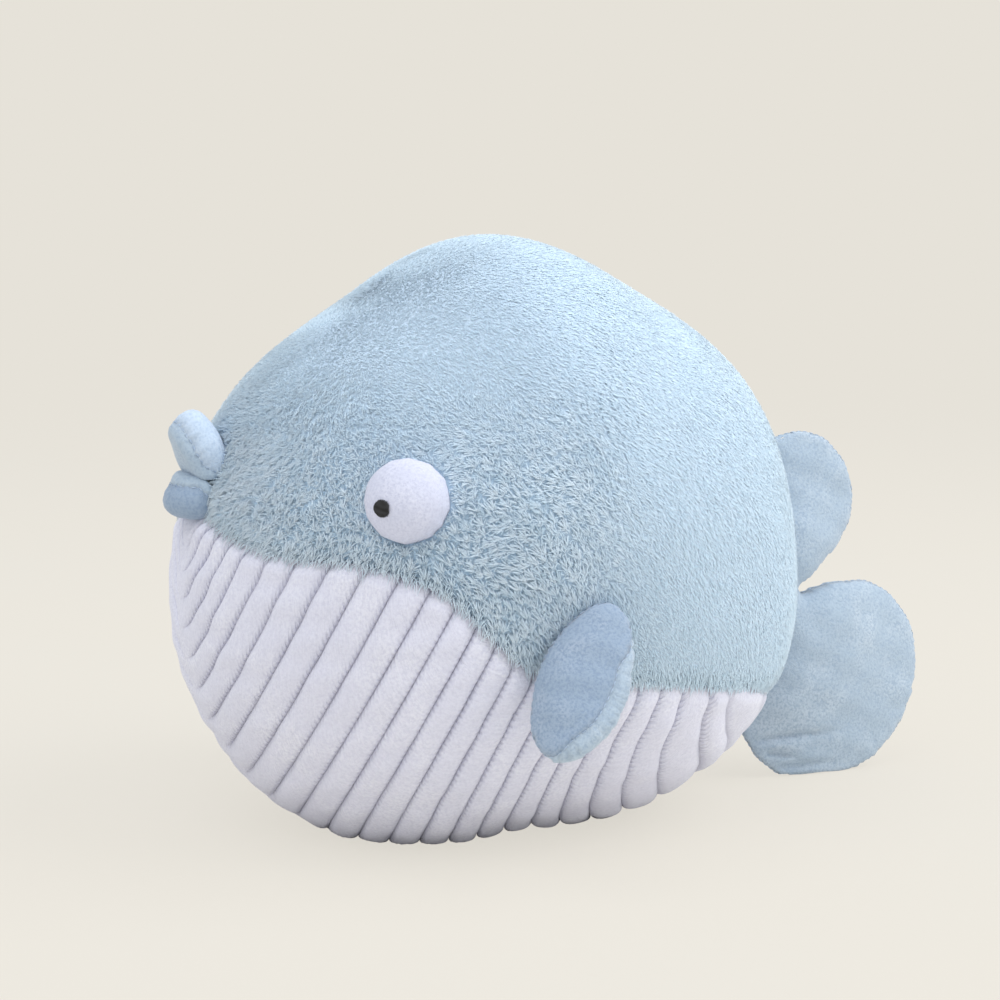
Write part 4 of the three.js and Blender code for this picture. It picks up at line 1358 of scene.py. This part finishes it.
def tubes(paths, radius, sides=6):
    """Closed tubes along several paths of equal length, tapered at both ends."""
    along = np.gradient(paths, axis=1)
    across = unit(np.cross(along, np.broadcast_to(LOOK, along.shape)))
    above = unit(np.cross(across, along))
    angle = 2 * np.pi * np.arange(sides) / sides
    taper = np.clip(np.sin(np.linspace(0, np.pi, paths.shape[1])) * 2.2, 0.35, 1)
    turn, rise = np.cos(angle)[:, None], np.sin(angle)[:, None]
    ring = turn * across[:, :, None] + rise * above[:, :, None]
    skin = paths[:, :, None] + radius * taper[None, :, None, None] * ring
    number, steps = paths.shape[:2]
    points = np.concatenate([skin.reshape(number, -1, 3), paths[:, :1], paths[:, -1:]], 1)
    each = points.shape[1]
    k = np.arange(sides)
    first = each * np.arange(number)[:, None, None]
    quads = (first + grid_faces(steps, sides, ring=True)).reshape(-1, 4)
    ends = np.concatenate([fan(k, each - 2)[:, ::-1], fan(k + (steps - 1) * sides, each - 1)])
    return points.reshape(-1, 3), quads, (first + ends).reshape(-1, 3)


print("satin threads are", 2 * SATIN_RADIUS, "mm thick")

# %% Pupils
SATIN_LIFT, SATIN_RISE = 0.15, 0.75
SATIN_STEPS = 13

rng = np.random.default_rng(8)
offsets = np.arange(-PUPIL_RADIUS + 0.3, PUPIL_RADIUS - 0.25, SATIN_PITCH)
reach = np.sqrt(PUPIL_RADIUS ** 2 - offsets ** 2) + rng.uniform(-0.25, 0.2, len(offsets))
shares = np.linspace(-1, 1, SATIN_STEPS)
domed = (0.55 + 0.45 * np.sqrt(1 - (offsets / PUPIL_RADIUS) ** 2))[:, None]
lift = SATIN_LIFT + SATIN_RISE * (1 - np.abs(shares) ** 3) * domed
satin = on_eye(offsets[:, None] + 0 * shares, reach[:, None] * shares, lift)
satin_points, satin_quads, satin_ends = tubes(satin, SATIN_RADIUS)
for side, mirrored in SIDES:
    mesh = new_mesh(f"{side}_pupil_satin", mirror(satin_points, mirrored), satin_quads, satin_ends)
    new_piece(mesh.name, mesh, BLACK_THREAD, "body", [f"{side}_pupil"])
print("pupil threads", len(offsets))

# %% [markdown]
# ## Filling of the body
#
# Loose fibre fills the ball right up to the cloth. It is hidden, but a cut-away or a
# see-through view would show it, so it gets the body's form, a little lumpy.

# %% Body filling
FILL_INSET, FILL_LUMPS, FILL_FLOOR = 8.0, 0.5, 2.4
FILL_BANDS, FILL_TURNS = 60, 120
BALL_RADIUS = 120.0

turn = np.linspace(0, 2 * np.pi, FILL_TURNS, endpoint=False)
rise = np.linspace(-np.pi / 2, np.pi / 2, FILL_BANDS + 2)[1:-1]
way = aim(turn[None, :], rise[:, None])
lumps = FILL_LUMPS * soft_noise(way * BALL_RADIUS, size=22, seed=11)
fibre = body_point(way, FILL_INSET + lumps).reshape(-1, 3)
poles = body_point(np.array([[0.0, 0, -1], [0.0, 0, 1]]), np.full(2, FILL_INSET))
fibre = np.concatenate([fibre, poles])
fibre[:, 2] = np.maximum(fibre[:, 2], FILL_FLOOR)
ring, count = np.arange(FILL_TURNS), FILL_BANDS * FILL_TURNS
last_ring = ring + count - FILL_TURNS
fibre_ends = np.concatenate([fan(ring, count)[:, ::-1], fan(last_ring, count + 1)])
fibre_skin = grid_faces(FILL_BANDS, FILL_TURNS, ring=True)
mesh = new_mesh("body_filling", fibre, fibre_skin, fibre_ends)
new_piece("body_filling", mesh, FILLING, "body", ["body_stuffing"])
print("filling holds", round(volume(fibre, [fibre_skin, fibre_ends]) / 1e6, 2), "litres")

# %% [markdown]
# ## Fur backing
#
# The fur grows from two knitted backings, left and right, joined along the back and
# sewn to the belly all round. Near its roots pile is as dense as felt, so backing and
# undercoat are one layer, and only the last few millimetres are single strands. The
# backing is drawn in where the tail is sewn on, which leaves the tail room to sway.

# %% Backing finish
UNDERCOAT_GRAIN, UNDERCOAT_DRIFT, UNDERCOAT_NAP = 0.0016, 0.03, 0.0005
CALM_SHADE = 0.8


def backing_material():
    """Undercoat painted pale, which lifts the shade deep between the tufts; greyer where the pile
    above it lies calm.
    """
    material, tree, shader = start_cloth("knitted_backing", roughness=0.95, sheen=0.0)
    nap = with_nap(tree, UNDERCOAT_GRAIN, UNDERCOAT_DRIFT, "#bedaf2", "#cbe3f7", "#d6ebfa")
    # Painted light: the pale tints lift the shade between the tufts at the face; where the pile
    # lies calm the undercoat sits high in the light and is blended greyer.
    laid = sums(tree, "MULTIPLY", attribute(tree, "calm"), CALM_SHADE)
    colour = blend_colours(tree, laid, nap["Color"], written("#b1c3d6"))
    link_cloth(tree, shader, colour, nap["Height"], strength=0.5, distance=UNDERCOAT_NAP)
    return material


def calm_places(d):
    """1 on the back and towards the tail, where the pile lies smooth, and 0 at the face."""
    return np.maximum(smooth_step(-d[..., 0], -0.4, 0.3), smooth_step(d[..., 2], 0.1, 0.75))


BACKING = backing_material()
print("backing has", len(BACKING.node_tree.nodes), "nodes")

# %% Backing
BACKING_INSET, BACKING_CLOTH = 2.3, 4.7
BACKING_ROWS, BACKING_STEPS, BACKING_END = 60, 110, 0.012
BACKING_TUCK, BACKING_TUCK_WIDTH = 2.6, 0.04
BACKING_WAVE, CALM_RAISE, CALM_SMOOTH = 0.3, 1.9, 0.9
ROOT_RECESS, ROOT_RECESS_WIDTH = 3.0, 0.08

share = np.linspace(BACKING_END, 1 - BACKING_END, BACKING_STEPS)
front_end, rear_end = SEAM_ELEVATIONS[0], np.pi - SEAM_ELEVATIONS[-1]
spine_angle = front_end + (rear_end - front_end) * share
spine = np.stack([np.cos(spine_angle), 0 * share, np.sin(spine_angle)], -1)
edge = seam_direction(np.pi * share)
climb = np.linspace(0, 1, BACKING_ROWS)[:, None, None]
way = unit(edge * (1 - climb) + spine * climb)
backing_calm = calm_places(way)
tuck = BACKING_TUCK * np.exp(-(climb[..., 0] / BACKING_TUCK_WIDTH) ** 2)
wave = BACKING_WAVE * (1 - CALM_SMOOTH * backing_calm)
wave = wave * soft_noise(way * BALL_RADIUS, size=8, seed=12)
tail_side = smooth_step(-way[..., 0], 0.8, 0.92) * (1 - smooth_step(way[..., 2], -0.15, 0.03))
recess = ROOT_RECESS * tail_side * np.exp(-(way[..., 1] / ROOT_RECESS_WIDTH) ** 2)
outer_inset = BACKING_INSET + tuck - CALM_RAISE * backing_calm + wave + recess
inner_inset = np.full(way.shape[:2], BACKING_INSET + BACKING_CLOTH)
layers = np.concatenate([body_point(way, inset).reshape(-1, 3)
                         for inset in (outer_inset, inner_inset)])
skin = grid_faces(BACKING_ROWS, BACKING_STEPS)
border = rim_of_grid(BACKING_ROWS, BACKING_STEPS)
count = BACKING_ROWS * BACKING_STEPS
for side, mirrored in SIDES:
    mesh = new_mesh(f"{side}_backing", mirror(layers, mirrored), skin, skin[:, ::-1] + count,
                    walls(border, border + count), hard=len(border),
                    numbers={"calm": np.tile(backing_calm.ravel(), 2)})
    new_piece(f"{side}_fur_backing", mesh, BACKING, "body",
              [f"{side}_upper_cover"])
print("backing faces", 2 * len(mesh.polygons))

# %% [markdown]
# ## Fur
#
# Long pile is what makes this toy. Hair systems look fine in a render but do not
# leave Blender as a mesh, so each strand here is a slim closed prism with a bend and
# a point. Roots lie on a spiral lattice, which is even all over a ball. Neighbours
# lean together into small tufts that point every way, wild at the face and calm on
# the back. A comb field lays them a little back and down, and straight down over the
# seam as a fringe.

# %% Comb
FUR_COMB = np.array([-0.5, 0.0, -0.8])
FRINGE_COMB, FRINGE_AHEAD, FRINGE_WIDTH = np.array([0.0, 0.0, -1.3]), 0.8, 9.0
COMB_WANDER, COMB_WANDER_CALM, COMB_SOFTNESS = 0.4, 0.3, 0.15
EYE_PART, EYE_PART_WIDTH = 0.35, 7.0
LIP_FLUFF, LIP_FLUFF_WIDTH = 3.6, 13.0
GOLDEN = np.pi * (3 - math.sqrt(5))
BEHIND_LIP = body_point(aim(0.0, math.radians(27.0)), 0.0)


def lattice(number, jitter, seed):
    """Directions spread evenly over a ball, each moved a little."""
    rng = np.random.default_rng(seed)
    k = np.arange(number)
    z = 1 - (2 * k + 1) / number
    level = np.sqrt(1 - z * z)
    d = np.stack([level * np.cos(GOLDEN * k), level * np.sin(GOLDEN * k), z], -1)
    return unit(d + jitter * math.sqrt(4 * np.pi / number) * rng.normal(size=d.shape))


def over_seam(d):
    """How far, in millimetres, a direction lies above the seam."""
    azimuth, elevation = np.arctan2(d[:, 1], d[:, 0]), np.arcsin(np.clip(d[:, 2], -1, 1))
    return (elevation - seam_elevation(azimuth)) * body_reach(d)


def along_surface(vectors, normal):
    """What is left of vectors when the part along the normal is taken away."""
    return vectors - normal * (vectors * normal).sum(-1, keepdims=True)


def comb(d, normal):
    """The way the pile lies: a direction along the surface."""
    at = body_point(d, np.zeros(len(d)))
    wander = np.stack([soft_noise(at, size=34, seed=21 + k) for k in range(3)], -1)
    way = FUR_COMB + (COMB_WANDER - COMB_WANDER_CALM * calm_places(d))[:, None] * wander
    fringe = np.exp(-(over_seam(d) / FRINGE_WIDTH) ** 2)[:, None]
    ahead = FORWARD * smooth_step(d[:, :1], 0.6, 0.95)
    way = way * (1 - fringe) + (FRINGE_COMB + FRINGE_AHEAD * ahead) * fringe
    for _, mirrored in SIDES:
        off = at - mirror(EYE_MIDDLE, mirrored)
        beside = (np.linalg.norm(off, axis=1) - EYE_RADIUS) / EYE_PART_WIDTH
        near = np.exp(-beside ** 2)[:, None]
        way = way * (1 - EYE_PART * near) + EYE_PART * near * unit(off)
    way = along_surface(way, normal)
    return way / (np.linalg.norm(way, axis=1, keepdims=True) + COMB_SOFTNESS)


def fluffed(at):
    """Pile stands higher just behind the upper lip."""
    return LIP_FLUFF * np.exp(-(np.linalg.norm(at - BEHIND_LIP, axis=1) / LIP_FLUFF_WIDTH) ** 2)


print("pile is combed along", FUR_COMB)

# %% Roots
STRANDS_ON_A_BALL, ROOT_JITTER = 330000, 0.32
SEAM_CLEARANCE = 0.2
EYE_OVERLAP, FAR_SIDE = 1.6, -60.0

roots = lattice(STRANDS_ON_A_BALL, ROOT_JITTER, seed=31)
roots = roots[over_seam(roots) > SEAM_CLEARANCE]
for _, mirrored in SIDES:
    off = body_point(roots, np.zeros(len(roots))) - mirror(EYE_MIDDLE, mirrored)
    axis = mirror(EYE_AXIS, mirrored)
    aside = np.linalg.norm(off - axis * (off @ axis)[:, None], axis=1)
    roots = roots[(aside > EYE_RADIUS - EYE_OVERLAP) | (off @ axis < FAR_SIDE)]
print("strands", len(roots))

# %% [markdown]
# A strand's path is its root, one bend and its tip. Its tip is lofted off the body
# and leans with the comb, and each draw of chance is made once and in a fixed order,
# so the fur is the same on every run.

# %% Strand paths
FUR_ROOT, FUR_LOFT, FUR_LEAN = 5.2, 5.4, 3.2
ROOT_FRINGE_WIDTH, FRINGE_SHORTER, FRINGE_LEAN = 5.0, 0.35, 0.4
LOFT_SPREAD, LOFT_SPREAD_CALM = 0.10, 0.06
STRAY, STRAY_CALM = 0.4, 0.2

normal = body_normal(roots)
lie = comb(roots, normal)
rng = np.random.default_rng(32)
root_at = body_point(roots, np.full(len(roots), FUR_ROOT))
calm = calm_places(roots)
fringe = np.exp(-(over_seam(roots) / ROOT_FRINGE_WIDTH) ** 2)
uneven = 1 + (LOFT_SPREAD - LOFT_SPREAD_CALM * calm) * rng.normal(size=len(roots))
loft = FUR_LOFT * uneven * (1 - FRINGE_SHORTER * fringe) + fluffed(root_at)
lean = FUR_LEAN * (0.8 + 0.4 * rng.random(len(roots))) * (1 + FRINGE_LEAN * fringe)
stray = (STRAY - STRAY_CALM * calm)[:, None] * rng.normal(size=roots.shape)
stray = along_surface(stray, normal)
tips = root_at + normal * loft[:, None] + (lie + stray) * lean[:, None]
print("pile stands", round(float(loft.mean()), 1), "mm high")

# %% Tufts
TUFTS_ON_A_BALL, TUFT_JITTER, TUFT_MARGIN = 20000, 0.5, -2
TUFT_LIFT, TUFT_LOFT_SPREAD, TUFT_LOFT_CALM = 0.8, 0.7, 0.6
TUFT_STRAY, TUFT_STRAY_CALM = 0.85, 0.6
GATHER, GATHER_CALM, GATHER_FRINGE = 0.82, 0.66, 0.6
BEND_UP, BEND_OVER = 0.60, 0.30

tuft_ways = lattice(TUFTS_ON_A_BALL, TUFT_JITTER, seed=33)
tuft_ways = tuft_ways[over_seam(tuft_ways) > TUFT_MARGIN]
tuft_normal = body_normal(tuft_ways)
tuft_calm = calm_places(tuft_ways)
stray = rng.normal(size=tuft_ways.shape) * (TUFT_STRAY - TUFT_STRAY_CALM * tuft_calm)[:, None]
stray = along_surface(stray, tuft_normal)
tuft_lie = (comb(tuft_ways, tuft_normal) + stray) * FUR_LEAN
taller = np.clip(rng.normal(size=len(tuft_ways)), -2, 1.2)
tuft_loft = FUR_LOFT + TUFT_LIFT - TUFT_LIFT * tuft_calm
tuft_loft += (TUFT_LOFT_SPREAD - TUFT_LOFT_CALM * tuft_calm) * taller
tuft_roots = body_point(tuft_ways, np.full(len(tuft_ways), FUR_ROOT))
tuft_loft += fluffed(tuft_roots)
tuft_tips = tuft_roots + tuft_normal * tuft_loft[:, None] + tuft_lie
tree = KDTree(len(tuft_ways))
for i, spot in enumerate(tuft_tips):
    tree.insert(spot, i)
tree.balance()
near = np.array([tree.find(spot)[1] for spot in tips])
gather = (GATHER - GATHER_CALM * calm) * (1 - GATHER_FRINGE * fringe)
gather = (gather * rng.uniform(0.6, 1.1, len(roots)))[:, None]
tips = tips * (1 - gather) + tuft_tips[near] * gather
bends = root_at + normal * (BEND_UP * loft)[:, None] + (tips - root_at) * BEND_OVER
print("tufts", len(tuft_ways))

# %% [markdown]
# Strands that would grow through an eye, a lip, a fin or the tail are cut back to
# where they meet it. Fins and tail move, so they are tried at several angles.

# %% Trim the fur round sewn-on pieces
FIN_ANGLES, TAIL_ANGLES = (0, 20, 40, 60, 80), (0, -15, 15, -30, 30)


def spun(points, joint, degrees):
    """Points of a moving piece, turned about its joint."""
    pivot, axis = np.array(joint["pos_m"]) / MM, np.array(joint["axis"], float)
    return pivot + turned(points - pivot, unit(axis), degrees)


ball_faces = np.concatenate([ball_quads[:, [0, 1, 2]], ball_quads[:, [0, 2, 3]], ball_tips])
obstacles = [(mirror(ball_points, mirrored), ball_faces) for _, mirrored in SIDES]
obstacles += lips
for name, (points, faces), angles in (("left_fin_flap", fins[0], FIN_ANGLES),
                                      ("right_fin_flap", fins[1], FIN_ANGLES),
                                      ("tail_sway", tail, TAIL_ANGLES)):
    obstacles += [(spun(points, joints[name], angle), faces) for angle in angles]
print("pieces and places to keep clear of", len(obstacles))

# %% Cut strands back
STRAND_REACH, TRIM, SHORTEST = 9, 0.92, 0.12

keep = np.ones(len(roots))
legs = np.stack([root_at, bends, tips], 1)
lengths = np.linalg.norm(np.diff(legs, axis=1), axis=-1)
for points, faces in obstacles:
    shape = BVHTree.FromPolygons(points.tolist(), faces.tolist())
    low, high = points.min(0) - STRAND_REACH, points.max(0) + STRAND_REACH
    for i in np.flatnonzero(((root_at > low) & (root_at < high)).all(1)):
        gone = 0.0
        for leg in range(2):
            start, way = Vector(legs[i, leg]), Vector(legs[i, leg + 1] - legs[i, leg])
            hit = shape.ray_cast(start, way.normalized(), lengths[i, leg])
            if hit[0] is not None:
                keep[i] = min(keep[i], (gone + hit[3]) / lengths[i].sum() * TRIM)
                break
            gone += lengths[i, leg]
trimmed = keep < 1
for ends in (bends, tips):
    ends[trimmed] = root_at[trimmed] + (ends - root_at)[trimmed] * keep[trimmed, None]
grown = keep > SHORTEST
print("trimmed", int(trimmed.sum()), "left out", int((~grown).sum()))

# %% [markdown]
# The fur's colour runs from a darker root to a paler tip, which paints the shade deep in
# the pile, with a tone for each strand. Both numbers are stored on the strands, and the
# flat map uses the same two numbers, so the baked copy needs only a small picture for
# thousands of strands.

# %% Fur finish
def fur_material():
    """Colour from a darker root, which is painted shade deep in the pile, to a paler tip, between
    a deep and a pale tone.
    """
    material, tree, shader = start_cloth("long_pile_fur", roughness=0.8, sheen=0.12, shine=0.15)
    tone, reach = attribute(tree, "tone"), attribute(tree, "reach")
    # From root to tip: the darker root is painted shade deep in the pile.
    pale = blend_colours(tree, reach, written("#cce5fa"), written("#e6f4ff"))
    deep = blend_colours(tree, reach, written("#aacee8"), written("#cce1f1"))
    colour = blend_colours(tree, tone, deep, pale)
    tree.links.new(colour, shader.inputs["Base Color"])
    return material


FUR = fur_material()
print("fur has", len(FUR.node_tree.nodes), "nodes")

# %% Tone of each strand
TONE_LIFTED_FOR_SHADE, TONE_DROPPED_WHERE_LIT, CALMED = 0.90, 0.66, 0.75
TONE_DRIFT, TONE_TUFT, TONE_STRAND = 0.10, 0.23, 0.08

wild = 1 - CALMED * calm
tuft_tone = rng.normal(size=len(tuft_ways))
drift = TONE_DRIFT * soft_noise(root_at, size=45, seed=41) + TONE_TUFT * tuft_tone[near]
# Painted light: the face takes the pale tone, which lifts the shade in its wild tufts, and the
# calm back and tail side, which the lamps light more, take the deep tone. The drift, tuft and
# strand terms are the pile's own uneven tone.
tone = TONE_LIFTED_FOR_SHADE - TONE_DROPPED_WHERE_LIT * calm + wild * drift
tone = np.clip(tone + TONE_STRAND * wild * rng.normal(size=len(roots)), 0.03, 0.97)
print("tones from", round(float(tone.min()), 2), "to", round(float(tone.max()), 2))

# %% [markdown]
# Light on fur comes from the whole pile, not from each strand's sides. So the strands
# carry normals of their own, which mostly point out of the body and only a little
# round the strand, more at the wild face than on the calm back.

# %% Strands
STRAND_HALF_WIDTH, BEND_WIDTH = 0.21, 0.85
STRAND_POINTS = 7
RISING = np.array([0.02, 0.02, 0.02, 0.5, 0.5, 0.5, 0.98])
ACROSS = np.array([-1, 0, 1, -1, 0, 1, 0]) * 0.006
FACING_ALONG, FACING_ROUND = 0.3, 0.25


def strand_mesh(name, pick):
    """Closed three-sided strands with one bend and a point."""
    base, bend, tip, out = root_at[pick], bends[pick], tips[pick], normal[pick]
    side = unit(np.cross(tip - base, out) + 1e-6)
    front = unit(np.cross(side, tip - base))
    ring = np.stack([side, -0.5 * side + 0.87 * front, -0.5 * side - 0.87 * front], 1)
    low = base[:, None] + STRAND_HALF_WIDTH * ring
    middle = bend[:, None] + STRAND_HALF_WIDTH * BEND_WIDTH * ring
    points = np.concatenate([low, middle, tip[:, None]], 1)
    number = len(base)
    first = STRAND_POINTS * np.arange(number)[:, None, None]
    ends = np.array([[2, 1, 0], [3, 4, 6], [4, 5, 6], [5, 3, 6]])
    faces = (first + grid_faces(2, 3, ring=True)).reshape(-1, 4), (first + ends).reshape(-1, 3)
    tones = tone[pick][:, None] + ACROSS
    flat = np.stack([tones, np.broadcast_to(RISING, tones.shape)], -1).reshape(-1, 2)
    reach = np.linspace(0, 1, 3).repeat([3, 3, 1])
    numbers = {"tone": np.repeat(tone[pick], STRAND_POINTS), "reach": np.tile(reach, number)}
    mesh = new_mesh(name, points.reshape(-1, 3), *faces, flat=[flat[f] for f in faces],
                    numbers=numbers)
    rough = wild[pick][:, None]
    facing = np.repeat(out + FACING_ALONG * rough * unit(tip - base), STRAND_POINTS, 0)
    round_it = np.concatenate([ring, ring, np.zeros((number, 1, 3))], 1)
    ripple = FACING_ROUND * rough[:, None] * round_it
    soft = unit(facing + ripple.reshape(-1, 3))
    mesh.normals_split_custom_set_from_vertices(soft.astype(np.float32))
    return mesh


print("strands have", STRAND_POINTS, "points each")

# %% Fur pieces
FUR_PARTS = ("face", "cheek", "middle", "flank", "rear")

for side, half in (("left", root_at[:, 1] >= 0), ("right", root_at[:, 1] < 0)):
    inside = np.flatnonzero(half & grown)
    parts = np.array_split(inside[np.argsort(-root_at[inside, 0])], len(FUR_PARTS))
    for where, pick in zip(FUR_PARTS, parts):
        mesh = strand_mesh(f"{side}_{where}_fur", pick)
        new_piece(mesh.name, mesh, FUR, "body")
        print(mesh.name, len(mesh.polygons), "faces")

# %% [markdown]
#
# Cloth and fur may stand a little proud of the solids, but the toy keeps its size.
# The span of the dressed toy is printed.

# %% Sizes
low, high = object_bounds()
print("dressed span", [round(h - l, 3) for l, h in zip(low, high)], "m")
